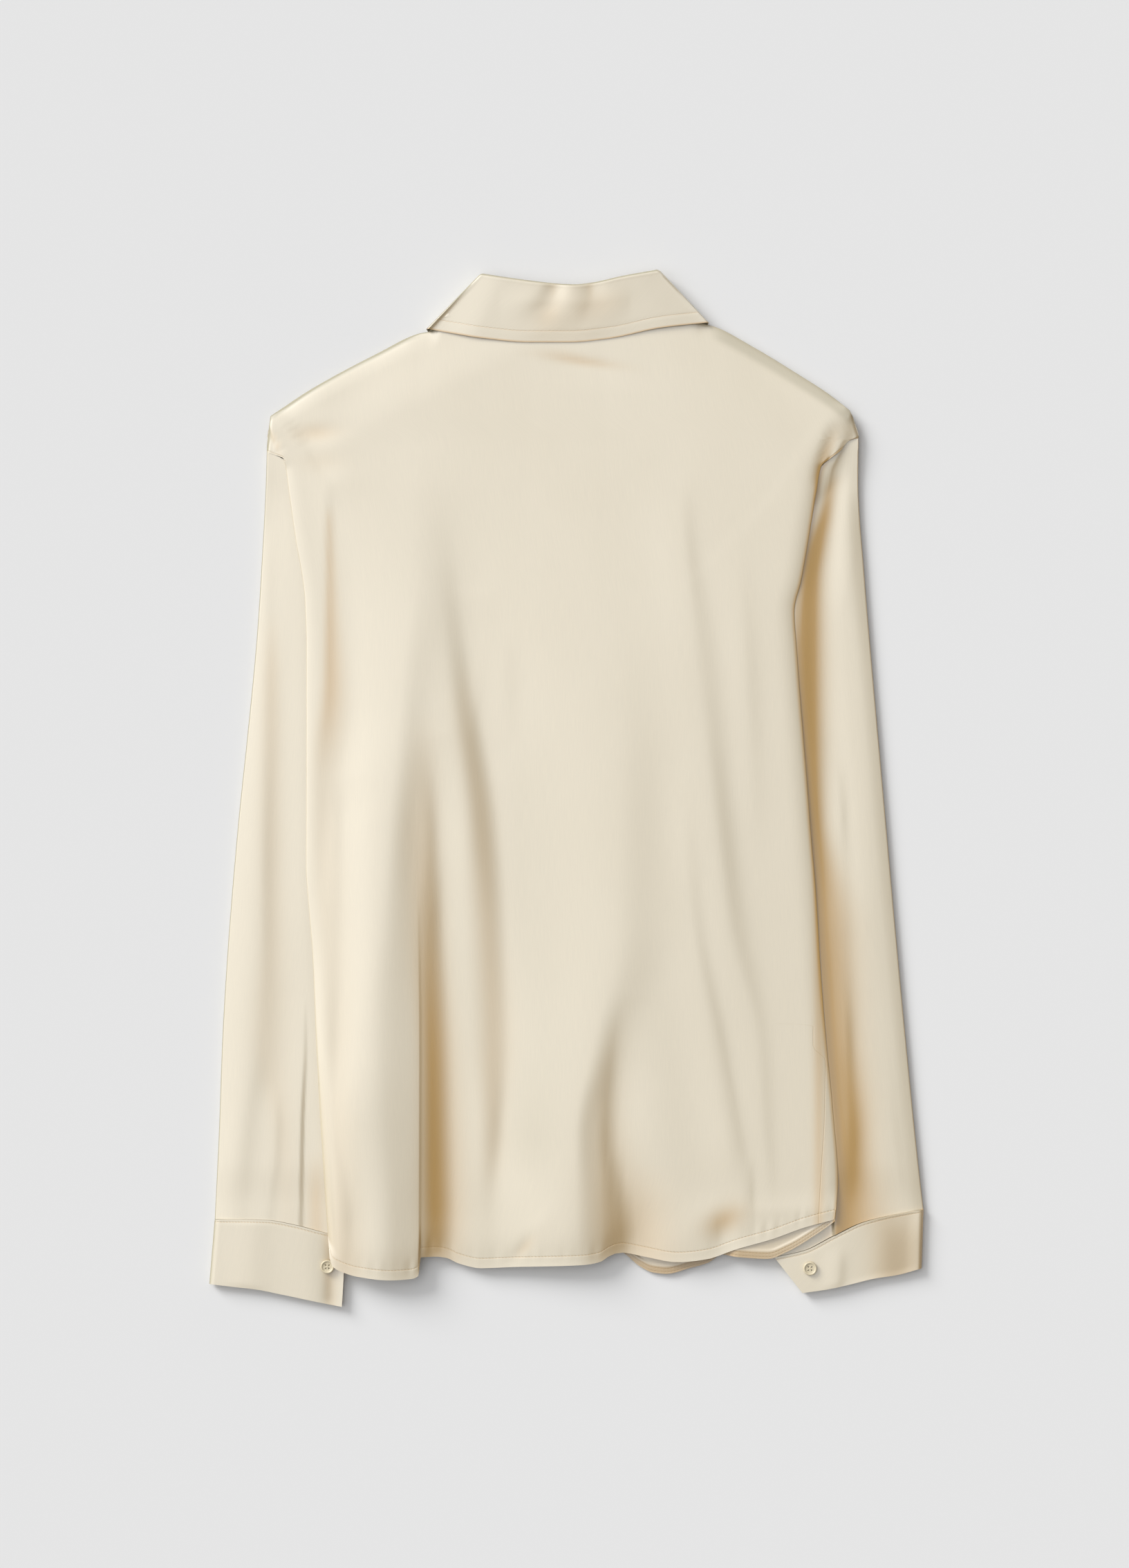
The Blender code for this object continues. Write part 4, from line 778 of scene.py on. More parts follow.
def add_cloth(name, points, quads, finish, uv, marks):
    """A mesh object of quads in millimetres, with its cloth coordinates and its marks at each point."""
    if signed_volume(points, quads) < 0.0:
        quads = quads[:, ::-1]
    quads = np.ascontiguousarray(quads)
    mesh = bpy.data.meshes.new(name)
    mesh.vertices.add(len(points))
    mesh.vertices.foreach_set("co", (points * MM).astype(np.float32).ravel())
    mesh.loops.add(quads.size)
    mesh.loops.foreach_set("vertex_index", quads.astype(np.int32).ravel())
    mesh.polygons.add(len(quads))
    mesh.polygons.foreach_set("loop_start", np.arange(0, quads.size, 4, dtype=np.int32))
    mesh.update(calc_edges=True)
    layer = mesh.uv_layers.new(name="cloth")
    layer.data.foreach_set("uv", (uv[quads] * MM).astype(np.float32).ravel())
    for mark, values in marks.items():
        mesh.attributes.new(mark, "FLOAT", "POINT").data.foreach_set("value", values.astype(np.float32))
    return add_object(name, mesh, finish, 45.0)


def aim(azimuth, elevation):
    """Unit direction; azimuth is counted from +X towards +Y."""
    turn, up = math.radians(azimuth), math.radians(elevation)
    return (math.cos(turn) * math.cos(up), math.sin(turn) * math.cos(up), math.sin(up))


def shell(name, outer, thickness, finish, closed=False, inward=-1.0, keep=None,
          warm=0.0, shade=0.0, stitch=NO_LINE, seam=NO_LINE):
    """Thin closed wall on a grid; thickness may be a number or a value at each point.

    Golden_shade and shade are painted shade at each point, golden and olive.  Besides them, golden shade is
    painted on cloth that leans away from the lamp, and olive darkening on cloth that leans towards it, to
    tone down its lit side.  Stitch and seam are distances in millimetres from the lines that the material
    draws.
    """
    depth = np.broadcast_to(np.asarray(thickness, float), outer.shape[:2])[..., None]
    facing = -inward * normals(outer, closed)
    inner = outer - depth * facing
    if keep is not None:
        inner[..., 2] = keep(inner[..., 0], inner[..., 1], inner[..., 2])
    size = outer.shape[:2]
    points = np.concatenate([outer.reshape(-1, 3), inner.reshape(-1, 3)])
    plan = np.stack([run_lengths(outer, 1), run_lengths(outer, 0)], axis=-1).reshape(-1, 2)
    to_lamp = facing @ np.array(aim(KEY_AZIMUTH, 0.0))
    # Painted shade: golden where the cloth leans away from the lamp, olive darkening where it leans towards
    # the lamp, each with the given tints added
    marks = {
        "warm": np.clip(AWAY_SHADE * step((-to_lamp - 0.02) / 0.55) + warm, 0.0, 1.0),
        "rim": np.clip(step((to_lamp - 0.16) / 0.4) + shade, 0.0, 1.0), "stitch": stitch, "seam": seam,
    }
    marks = {name: np.tile(np.broadcast_to(values, size).reshape(-1), 2) for name, values in marks.items()}
    quads = wall_quads(*size, closed)
    return add_cloth("cloth_" + name, points, quads, finish, np.tile(plan, (2, 1)), marks)


# ---- back and fronts ----


def guided_x(share, y):
    """Where a column lies at height y: the columns follow the body's edges and its main folds."""
    tables = (BODY_LEFT, LOBE_EDGE, VALLEY_LINE, BAND_LINE, CREASE_LINE, BODY_RIGHT)
    lines = [smooth(table, y) for table in tables]
    x = np.zeros(np.broadcast(share, y).shape)
    for k in range(len(lines) - 1):
        first, last = GUIDE_SHARES[k], GUIDE_SHARES[k + 1]
        here = (share >= first) & ((share < last) | (k == len(lines) - 2))
        x = np.where(here, across(lines[k], lines[k + 1], (share - first) / (last - first)), x)
    return x


def body_plan(shares, rows, hem, top, place):
    """Plan points of the body's grid, its rows following the hem below and the shoulders above."""
    y_hem, y_top = np.full(len(shares), FLAT_LOW), np.full(len(shares), 300.0)
    for _ in range(12):
        y_hem = smooth(hem, place(shares, y_hem))
        y_top = smooth(top, place(shares, y_top))
    flat = across(FLAT_LOW, FLAT_HIGH, rows[:, None])
    low = flat + (y_hem - FLAT_LOW) * step((HEM_ZONE + FLAT_LOW - flat) / HEM_ZONE)
    rise = np.clip((flat - YOKE_LINE) / (FLAT_HIGH - YOKE_LINE), 0.0, 1.0)
    y = np.where(flat > YOKE_LINE, YOKE_LINE + (y_top - YOKE_LINE) * rise, low)
    return place(np.broadcast_to(shares, y.shape), y), y


def hem_relief(away):
    """Extra height of a turned hem: a band with a pressed line where it is stitched."""
    return 0.03 * step((HEM_DEPTH + 1.5 - away) / 3.0) - 0.035 * bell((away - HEM_DEPTH) / 0.8)


def hem_thickness(away):
    """Wall of a panel: double where its hem is turned."""
    return THIN + 0.5 * step((HEM_DEPTH - away) / 1.2)


def pucker(x, away):
    """Small waves that the stitches draw into a hem."""
    waves = np.sin(x * 0.78 + 1.3 * np.sin(x * 0.071)) + 0.7 * np.sin(x * 0.47 + 2.0 * np.sin(x * 0.043))
    return PUCKER * waves * bell((away - HEM_DEPTH - 1.5) / 5.5)


def armhole_seams(x, y):
    """Distance to the armhole seams where they show, or NO_LINE."""
    left, low, high = ((y - line.y) * line.rise + line.lean * (x - line.x) for line in ARMHOLE_LINES)
    near = np.where(x < 0.0, left, np.where(x < ARMHOLE_LINES[-1].x, low, high))
    there = np.where(x < 0.0, (x < SEEN_LEFT) & (y > ARMHOLE_LEFT), (x > SEEN_RIGHT) & (y > ARMHOLE_RIGHT))
    return np.where(there, np.abs(near), NO_LINE)


def shoulder_shade_band(x, y):
    """Painted shade in a band along the folded shoulder: broad at the right, thin at the left."""
    width = np.where(x > 0.0, 11.0, 4.0)
    return 0.42 * step((width - from_shoulder(x, y)) / (0.5 * width)) * step((np.abs(x) - 100.0) / 14.0)


def build_back(finish):
    shares = crowded(BACK_COLUMNS, (0.0, 0.006, 16), (1.0, 0.006, 16), (0.213, 0.016, 7))
    rows = crowded(BACK_ROWS, (0.0, 0.008, 9), (0.012, 0.006, 3), (1.0, 0.008, 5))
    x, y = body_plan(shares, rows, BACK_HEM, BODY_TOP, guided_x)
    away = y - smooth(BACK_HEM, x)
    from_left, from_right = x - smooth(BODY_LEFT, y), smooth(BODY_RIGHT, y) - x
    z = back_skin(x, y) + hem_relief(away) + pucker(x, away)
    z = z - 0.12 * bell(armhole_seams(x, y) / 0.9)
    hanging = step(from_left / 12.0) * (1.0 - 0.7 * step((x - 115.0) / 35.0))
    z = z - HEM_DROOP * bell(away / HEM_DROOP_REACH) * hanging
    # Painted golden shade on the body's right edge, which turns away from the lamp, and less painted
    # darkening on its left edge, which faces it
    right_edge_shade = 0.5 * step((3.0 - from_right) / 2.0) * step((250.0 - y) / 10.0) * (x > 0.0)
    left_edge = step((4.0 - from_left) / 2.0) * step((ARMHOLE_LEFT - y) / 10.0)
    side_seam = x - smooth(SIDE_SEAM, y) + NO_LINE * step((y - SIDE_SEAM_TOP) / 10.0)
    seams = np.where((x > 150.0) & (y < SIDE_SEAM_TOP + 26.0), side_seam, armhole_seams(x, y) - 1.0)
    return shell("back", np.stack([x, y, z], axis=2), hem_thickness(away), finish,
                 warm=tint(BACK_GOLDEN_SHADE, x, y) + spots_height(BACK_SHADE_SPOTS, x, y) + right_edge_shade,
                 shade=tint(BACK_SHADE, x, y) + shoulder_shade_band(x, y) - 0.75 * left_edge,
                 stitch=away - HEM_DEPTH, seam=seams,
                 keep=lambda x, y, z: np.maximum(z, middle(x, y) + 0.5 * SEAM))


def neckline(x):
    """Height of the front's neck seam."""
    share = np.abs(x) / NECK_SIDE.x
    return across(NECK_FRONT.y, NECK_SIDE.y, share) - 4.0 * NECK_SAG * share * (1.0 - share)


FRONT_TOP = [row for row in BODY_TOP if abs(row.x) > LEAF_HALF]
FRONT_TOP += [Span(x, float(neckline(x))) for x in np.linspace(-NECK_SIDE.x, NECK_SIDE.x, 41)]


def build_front(name, finish, side):
    """One front: side is -1 for the left front, which lies inside the right one at the centre."""
    shares = crowded(FRONT_COLUMNS, (0.0, 0.01, 8))
    side_fold, lifted = BODY_RIGHT, 0.0
    if side < 0:
        side_fold, lifted = BODY_LEFT, LAP_LIFT
    else:
        shares = shares[::-1]

    def spread(share, y):
        """Columns from the side fold to just past the centre line."""
        return across(smooth(side_fold, y), -side * OVERLAP, share)

    x, y = body_plan(shares, crowded(FRONT_ROWS, (0.0, 0.012, 10)), FRONT_HEM, FRONT_TOP, spread)
    away = y - smooth(FRONT_HEM, x)
    droop = FRONT_DROOP * bell(away / 20.0) * (1.0 - step(under_fronts(x, y) / 2.0))
    z = front_skin(x, y) + lifted * front_lap(x) - hem_relief(away) - droop

    def keep(x, y, z):
        return np.minimum(z, middle(x, y) - 0.5 * SEAM + lifted * front_lap(x) - droop)

    # Painted shade on the fronts' hem below the back's hem, strongest on the stitched band
    hem_band_shade = across(0.35, 1.0, step((FRONT_BAND + 0.6 - away) / 1.2))
    return shell(name, np.stack([x, y, np.maximum(z, 0.0)], axis=2), hem_thickness(away), finish,
                 inward=1.0, keep=keep, warm=tint(FRONT_GOLDEN_SHADE, x, y) * hem_band_shade,
                 shade=tint(FRONT_SHADE, x, y) * hem_band_shade,
                 stitch=np.abs(away - 0.5 * FRONT_BAND) - 1.2)


# ---- sleeves ----


def tube_stations():
    """Places across a sleeve, from its outer fold to the hidden one; distances are in millimetres."""
    stations = [("outer", away) for away in SLEEVE_ROLL]
    stations += [("beside", share) for share in np.linspace(0.0, 1.0, 44)[1:-1]]
    stations += [("body", away) for away in (*np.linspace(7.0, 0.0, 9), -0.6, -1.4, -2.6, -4.0)]
    stations += [("under", share) for share in np.linspace(0.0, 1.0, 12)[1:-1]]
    return stations + [("inner", away) for away in reversed(SLEEVE_ROLL)]


def station_x(station, y, sleeve):
    """Where a station across the sleeve lies at height y."""
    kind, value = station
    outer, inner, body = smooth(sleeve.outer, y), smooth(sleeve.inner, y), sleeve.body_fold(y)
    inward, rolled = np.sign(inner - outer), SLEEVE_ROLL[-1]
    scale = np.minimum(1.0, np.abs(body - outer) / 14.0)
    hidden_scale = np.minimum(1.0, np.abs(inner - body) / 16.0)
    if kind == "outer":
        return outer + inward * value * scale
    if kind == "beside":
        return across(outer + inward * rolled * scale, body - inward * 7.0 * scale, value)
    if kind == "body":
        return body - inward * value * np.where(value > 0.0, scale, hidden_scale)
    if kind == "under":
        return across(body + inward * 4.0 * hidden_scale, inner - inward * rolled, value)
    return inner - inward * value


def sleeve_top(x, y, sleeve, outside, from_fold, below_cap):
    """Height of a sleeve's upper skin; outside is how far a point is from the body lying on it."""
    levels = sleeve.levels
    level = across(levels.beside, levels.free, step((outside - 6.0) / 30.0))
    level = across(SLEEVE_CAP, level, step(below_cap / 34.0))
    into_cuff = 1.0 - 0.15 * step((-270.0 - y) / 30.0)
    near_fold = (1.0 - np.minimum(from_fold / levels.reach, 1.0)) ** 2
    sink = levels.sink * near_fold * step((below_cap - 10.0) / 60.0)
    high = (level + folds_height(sleeve.folds, x, y)) * into_cuff - sink
    return across(SLEEVE_FLAT, high, 1.0 - rounding(np.maximum(-outside - 0.6, 0.0), 3.4))


def build_sleeve(name, finish, sleeve):
    """A flattened tube from its cuff seam to the armhole seam."""

    def end_height(line, station, y):
        """Height at which a station meets the cuff seam or the armhole seam."""
        for _ in range(40):
            outer, inner = smooth(sleeve.outer, y), smooth(sleeve.inner, y)
            y = 0.5 * (y + float(smooth(line, (station_x(station, y, sleeve) - outer) / (inner - outer))))
        return y

    rise = crowded(SLEEVE_ROWS, (0.0, 0.01, 4), (1.0, 0.01, 4))
    columns = []
    for station in tube_stations():
        low = end_height(column(sleeve.cuff, "share", "seam_y"), station, -320.0) + 0.3 * SEAM
        high = end_height(sleeve.cap, station, 200.0) - 0.3 * SEAM
        ys = across(low, high, rise)
        columns.append(np.stack([station_x(station, ys, sleeve), ys], axis=1))
    x, y = np.moveaxis(np.stack(columns, axis=1), -1, 0)
    outer, inner = smooth(sleeve.outer, y), smooth(sleeve.inner, y)
    inward = float(np.sign(inner - outer)[0, 0])
    from_fold = np.abs(x - outer)
    top = sleeve_top(x, y, sleeve, (sleeve.body_fold(y) - x) * inward, from_fold, y[-1:] - y)
    bottom = excess(top - 2.0 * CLOTH - MOST_AIR)
    centre = 0.5 * (top + bottom)
    ring = rounding(np.minimum(from_fold, np.abs(x - inner)), sleeve.levels.roll)
    upper, lower = (np.stack([x, y, centre + (skin - centre) * ring], axis=2) for skin in (top, bottom))
    loop = np.concatenate([upper, lower[:, -2:0:-1]], axis=1)
    # Painted golden and olive shade from the sleeve's tables
    return shell(name, loop, THIN, finish, closed=True, inward=-inward,
                 warm=tint(sleeve.warmth, loop[..., 0], loop[..., 1]),
                 shade=tint(sleeve.shade, loop[..., 0], loop[..., 1]))


# ---- cuffs ----


def cuff_stations():
    """Places round a cuff as (share, height): under its buttoned end, round both folds, onto itself."""
    lap_top = CUFF_TOP - COLLAR_CLOTH - SEAM
    bend = np.linspace(0.0, math.pi, 7)[1:-1]
    low, high = 0.035, 0.965
    stations = [(share, lap_top) for share in np.linspace(1.0 - CUFF_LAP, high, 10)]
    stations += [(high + 0.033 * math.sin(t), 0.5 * lap_top * (1.0 + math.cos(t))) for t in bend]
    stations += [(share, 0.0) for share in np.linspace(high, low, 26)]
    stations += [(low - 0.035 * math.sin(t), 0.5 * CUFF_TOP * (1.0 - math.cos(t))) for t in bend]
    return stations + [(share, CUFF_TOP) for share in np.linspace(low, 1.0, 66)]


def build_cuff(name, finish, cuff, folds, golden_shade_table, shade_table):
    """A band that starts under its buttoned end, turns round both folds and ends on top of itself."""
    shares, heights = np.array(cuff_stations()).T
    lines = [smooth(column(cuff, "share", field), shares) for field in Cuff._fields[1:]]
    seam_x, seam_y, end_x, end_y = lines
    rows = crowded(CUFF_ROWS, (0.0, 0.05, 2), (1.0, 0.05, 2))[:, None]
    x, y = across(end_x, seam_x, rows), across(end_y, seam_y, rows)
    below_seam = seam_y - y
    edge = np.minimum(below_seam, y - end_y)
    stitched = -0.12 * bell((below_seam - CUFF_STITCH) / 0.7)
    relief = (folds_height(folds, x, y) + stitched) * step(edge / 8.0 + 0.45)
    z = heights + np.where(heights == CUFF_TOP, relief, 0.0)
    # Painted golden and olive shade from the cuff's tables
    return shell(name, np.stack([x, y, z], axis=2), COLLAR_CLOTH, finish,
                 inward=-1.0 if x[0, -1] > x[0, -3] else 1.0, warm=tint(golden_shade_table, x, y),
                 shade=tint(shade_table, x, y), stitch=below_seam - CUFF_STITCH)


# ---- collar ----


def ring_stations(back_steps, front_steps):
    """Stations round the collar: which half, and share of the way from the middle to the side."""
    rolled = [0.9, 0.93, 0.955, 0.972, 0.985, 0.993, 0.998]
    back = [-share for share in reversed(rolled)] + list(np.linspace(-0.88, 0.88, back_steps)) + rolled
    front = [*np.linspace(0.0, 0.86, front_steps), *rolled]
    stations = [("front", -share) for share in front] + [("side", -1.0)]
    stations += [("back", share) for share in back] + [("side", 1.0)]
    return stations + [("front", share) for share in reversed(front)]


def line_across(table, share, inset=0.0, rise=0.0):
    """Point of a line across the back of the neck; share is -1 at its left end and 1 at its right."""
    x = across(table[0].x, table[-1].x, 0.5 * (share + 1.0))
    return np.array([x * (1.0 - inset / table[-1].x), float(smooth(table, x)) + rise])


def line_in_front(start, end, share, side, sag):
    """Point of a line from the centre front to the side of the collar."""
    x = across(start.x * side, end[0], share)
    return np.array([x, across(start.y, end[1], share) - 4.0 * sag * share * (1.0 - share)])


def ring_height(half, share, top, bottom, half_width):
    centre = 0.5 * (top + bottom)
    ring = float(rounding((1.0 - abs(share)) * half_width, 0.36 * (top - centre)))
    return centre + ((bottom if half == "front" else top) - centre) * ring


def collar_grid(rows, stations, back_lines, front_lines):
    """Skin of a flattened ring; each row is (share from line to line, inset, top, bottom)."""
    grid = np.zeros((len(rows), len(stations), 3))
    first_back = [half for half, _ in stations].index("back")
    for r, (t, inset, top, bottom) in enumerate(rows):
        for k, (half, share) in enumerate(stations):
            side = 1.0 if share > 0.0 or k > first_back else -1.0
            lines = front_lines(abs(share), side, inset) if half == "front" else back_lines(share, inset)
            grid[r, k, :2] = across(*lines, t)
            grid[r, k, 2] = ring_height(half, share, top, bottom, across(64.0, LEAF_REACH, t))
    return grid


def leaf_rows():
    """Rows of the leaf: its inner edge, the turn over the stand, and down to its lower edge."""
    inner_top, inner_bottom = STAND_TOP - COLLAR_CLOTH, STAND_BOTTOM + COLLAR_CLOTH
    rows = [(0.062, 3.6, inner_top, inner_bottom)]
    for turn in np.linspace(0.0, math.pi, 9):
        up, out = 0.5 - 0.5 * math.cos(turn), math.sin(turn)
        rows.append((0.03 * (1.0 - out) + 0.012 * up, 2.6 * (1.0 - up),
                     across(inner_top, LEAF_TOP, up), across(inner_bottom, 0.0, up)))
    return rows + [(t, 0.0, across(LEAF_TOP, LEAF_LOW, t), 0.0) for t in np.linspace(0.07, 1.0, 30)]


def build_leaf(finish):
    """The leaf folds over the top of the stand, and its points lie under the fronts."""

    def back_lines(share, inset):
        return line_across(COLLAR_FOLD, share, inset), line_across(LEAF_EDGE, share)

    def front_lines(share, side, inset):
        fold, edge = back_lines(side, inset)
        return (line_in_front(COLLAR_FRONT, fold, share, side, NECK_SAG),
                line_in_front(COLLAR_TIP, edge, share, side, 0.0))

    stations = ring_stations(90, 24)
    outer = collar_grid(leaf_rows(), stations, back_lines, front_lines)
    on_back = np.array([half == "back" for half, _ in stations])
    x, y = outer[..., 0], outer[..., 1]
    away = y - smooth(LEAF_EDGE, x)
    relief = folds_height(LEAF_FOLDS, x, y) + folds_height(LEAF_CREASES, y, x)
    relief = relief - 0.07 * bell((away - LEAF_STITCH) / 0.8) + 0.04 * step((LEAF_STITCH - away) / 1.6)
    to_side = LEAF_REACH - np.abs(x - 2.0) - 0.45 * (y - 331.0)
    relief = relief - np.where(x < 2.0, 1.6, 0.5) * (1.0 - step(to_side / 34.0))
    from_side = np.array([(1.0 - abs(share)) * LEAF_REACH for _, share in stations])
    outer[..., 2] += np.where(on_back, relief * step(from_side / 4.0), 0.0)
    # Painted golden shade in the notches and along the leaf's lower edge, where it shades the back, and a
    # little painted darkening at its left side, which faces the lamp
    return shell("collar_leaf", outer, np.where(on_back, across(0.45, 0.9, step(away / 14.0)), 0.9), finish,
                 inward=1.0, warm=(tint(LEAF_GOLDEN_SHADE, x, y) + spots_height(LEAF_SHADE_SPOTS, x, y)
                                   + step((0.8 - away) / 0.5) * on_back),
                 shade=np.where(x < 0.0, 0.16, 0.0) * step((4.0 - from_side) / 2.0),
                 stitch=np.where(on_back, away - LEAF_STITCH, NO_LINE))


def build_stand(finish):
    """The stand rises from the neck seam to the fold of the leaf."""
    seam = [Span(-NECK_SIDE.x, NECK_SIDE.y)] + [row for row in BODY_TOP if abs(row.x) < 70.0]
    seam += [Span(NECK_SIDE.x, NECK_SIDE.y + 3.4)]

    def back_lines(share, inset):
        return line_across(COLLAR_FOLD, share, inset), line_across(seam, share, rise=SEAM)

    def front_lines(share, side, inset):
        fold, edge = back_lines(side, inset)
        x = across(COLLAR_FRONT.x, NECK_SIDE.x, share)
        low = float(neckline(x)) + 2.0 * SEAM
        to_side = edge[1] - NECK_SIDE.y - 2.0 * SEAM
        return (line_in_front(COLLAR_FRONT, fold, share, side, NECK_SAG),
                np.array([x * side, low + to_side * share ** 6]))

    rows = [(t, 4.6, STAND_TOP, STAND_BOTTOM) for t in np.linspace(0.14, 1.0, 12)]
    outer = collar_grid(rows, ring_stations(40, 20), back_lines, front_lines)
    return shell("collar_stand", outer, 0.9, finish, inward=1.0)


# ---- buttons ----


def turned(name, profile, sides, base, up, finish):
    """A turned form from (radius, height) rows whose first and last lie on its axis."""
    turns = np.arange(sides) * 2.0 * math.pi / sides
    circle = np.stack([np.cos(turns), np.sin(turns), np.zeros(sides)], axis=1)
    points = []
    for radius, height in profile:
        ring = circle if radius > 0.0 else circle[:1]
        points += [tuple(point * MM) for point in base + radius * ring + (0.0, 0.0, up * height)]
    faces = []
    last = 1 + (len(profile) - 3) * sides
    for k in range(sides):
        n = (k + 1) % sides
        faces.append((0, 1 + n, 1 + k))
        faces += [(row + k, row + n, row + n + sides, row + k + sides) for row in range(1, last, sides)]
        faces.append((last + k, last + n, last + sides))
    mesh = bpy.data.meshes.new(name)
    mesh.from_pydata(points, [], [face[::int(up)] for face in faces])
    return add_object(name, mesh, finish, 40.0)


def build_button(name, finish, up):
    """A button with a raised rim and four holes drilled through its dish; up is -1 if it faces down."""
    low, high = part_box(name)
    centre = (low + high) * 0.5 / MM
    base = np.array([centre.x, centre.y, (low.z if up > 0 else high.z) / MM])
    made = turned("shown_" + name, BUTTON_PROFILE, 64, base, up, finish)
    drill = ((0.0, -1.0), (HOLE_RADIUS, -1.0), (HOLE_RADIUS, 4.0), (0.0, 4.0))
    offsets = [(x, y, 0.0) for x in (HOLE_OFFSET, -HOLE_OFFSET) for y in (HOLE_OFFSET, -HOLE_OFFSET)]
    cutters = [turned("cutter", drill, 16, base + offset, up, finish) for offset in offsets]
    for cutter in cutters:
        cut = made.modifiers.new("hole", "BOOLEAN")
        cut.operation, cut.solver, cut.object = "DIFFERENCE", "EXACT", cutter
    mesh = bpy.data.meshes.new_from_object(made.evaluated_get(bpy.context.evaluated_depsgraph_get()))
    made.modifiers.clear()
    made.data = mesh
    for cutter in cutters:
        bpy.data.objects.remove(cutter, do_unlink=True)
    return made


# ---- materials ----


def put(tree, socket, value):
    """Give a socket a number, or link it to another node's output; three numbers are a colour."""
    if isinstance(value, bpy.types.NodeSocket):
        tree.links.new(value, socket)
    elif socket.type == "RGBA":
        socket.default_value = (*value, 1.0)
    else:
        socket.default_value = value


def add_node(tree, kind, settings=None, **sockets):
    """A node with its settings and its sockets' values; _ stands for a space in a socket's name."""
    node = tree.nodes.new("ShaderNode" + kind)
    for name, value in (settings or {}).items():
        setattr(node, name, value)
    for name, value in sockets.items():
        put(tree, node.inputs[name.replace("_", " ")], value)
    return node


def calculate(tree, operation, first, second=0.0):
    node = add_node(tree, "Math", {"operation": operation})
    put(tree, node.inputs[0], first)
    put(tree, node.inputs[1], second)
    return node.outputs["Value"]


def ranged(tree, value, low, high, to_low, to_high, **settings):
    node = add_node(tree, "MapRange", settings, Value=value, From_Min=low, From_Max=high, To_Min=to_low,
                    To_Max=to_high)
    return node.outputs["Result"]


def mixed(tree, share, first, second, blend="MIX"):
    """Mix of two colours."""
    node = add_node(tree, "Mix", {"data_type": "RGBA", "blend_type": blend})
    for socket, value in ((0, share), (6, first), (7, second)):
        put(tree, node.inputs[socket], value)
    return node.outputs[2]


def mark(tree, name):
    """Value that a piece's points carry under this name."""
    return add_node(tree, "Attribute", {"attribute_name": name}).outputs["Fac"]


def new_material(name, **sockets):
    made = bpy.data.materials.new(name)
    made.use_nodes = True
    shader = made.node_tree.nodes["Principled BSDF"]
    for socket, value in sockets.items():
        put(made.node_tree, shader.inputs[socket.replace("_", " ")], value)
    return made, made.node_tree, shader


def satin_material():
    """Satin: fine warp streaks in the sheen, a soft bump, painted golden and olive shade from the pieces'
    marks, and thread on the stitches.
    """
    made, tree, shader = new_material("satin_cloth", Roughness=SATIN_ROUGHNESS, IOR=3.2, Sheen_Weight=0.1,
                                      Sheen_Roughness=0.35, Sheen_Tint=(1.0, 0.97, 0.9))
    uv = add_node(tree, "UVMap", {"uv_map": "cloth"}).outputs["UV"]

    def streaks(across_scale, along_scale, detail):
        mapping = add_node(tree, "Mapping", Vector=uv, Scale=(across_scale, along_scale, 1.0))
        noise = add_node(tree, "TexNoise", Vector=mapping.outputs["Vector"], Scale=1.0, Detail=detail)
        return noise.outputs["Fac"]

    def near_line(name, half_width):
        """1 on a drawn line and 0 beside it."""
        away = calculate(tree, "ABSOLUTE", mark(tree, name))
        return ranged(tree, away, half_width, 2.0 * half_width, 1.0, 0.0)

    fine, cloudy, rim = streaks(1400.0, 60.0, 3.0), streaks(9.0, 5.0, 2.0), mark(tree, "rim")
    parts = add_node(tree, "SeparateXYZ", Vector=uv)
    along = calculate(tree, "ADD", parts.outputs["X"], parts.outputs["Y"])
    turns = calculate(tree, "FRACT", calculate(tree, "MULTIPLY", along, 1.0 / STITCH_PITCH))
    thread = calculate(tree, "LESS_THAN", turns, STITCH_SHARE)
    stitches = calculate(tree, "MULTIPLY", near_line("stitch", 0.28), thread)
    seams = calculate(tree, "MULTIPLY", near_line("seam", 0.22), 0.5)
    lines = calculate(tree, "MAXIMUM", stitches, seams)

    # Painted golden shade, then the thread of stitches and seams, then painted olive shade from the rim mark
    colour = mixed(tree, mark(tree, "warm"), SATIN_PALE, SATIN_GOLD_SHADE_AND_THREAD)
    colour = mixed(tree, calculate(tree, "MULTIPLY", lines, 0.42), colour, SATIN_GOLD_SHADE_AND_THREAD)
    colour = mixed(tree, rim, colour, SATIN_SHADE, "MULTIPLY")
    threads = add_node(tree, "HueSaturation", Color=colour, Value=ranged(tree, fine, 0.3, 0.7, 0.975, 1.02))
    put(tree, shader.inputs["Base Color"], threads.outputs["Color"])

    rough = ranged(tree, cloudy, 0.3, 0.7, SATIN_ROUGHNESS - 0.05, SATIN_ROUGHNESS + 0.05)
    # Cloth marked for painted darkening is also rougher, which spreads its highlight
    rougher = calculate(tree, "MULTIPLY", rim, 0.45)
    put(tree, shader.inputs["Roughness"], calculate(tree, "ADD", rough, rougher))

    reliefs = ((fine, 0.12, 0.0002, False), (cloudy, 0.35, 0.0016, False), (lines, 0.3, 0.0004, True))
    normal = {}
    for height, strength, distance, sunk in reliefs:
        bump = add_node(tree, "Bump", {"invert": sunk}, Height=height, Strength=strength, Distance=distance,
                        **normal)
        normal = {"Normal": bump.outputs["Normal"]}
    put(tree, shader.inputs["Normal"], normal["Normal"])
    return made


def button_material():
    made, tree, shader = new_material("button_polished", Roughness=0.4)
    coords = add_node(tree, "TexCoord").outputs["Object"]
    noise = add_node(tree, "TexNoise", Vector=coords, Scale=260.0)
    ramp = add_node(tree, "ValToRGB", Fac=noise.outputs["Fac"])
    for element, colour in zip(ramp.color_ramp.elements, BUTTON_COLOURS):
        element.color = (*colour, 1.0)
    put(tree, shader.inputs["Base Color"], ramp.outputs["Color"])
    return made


# ---- stage ----


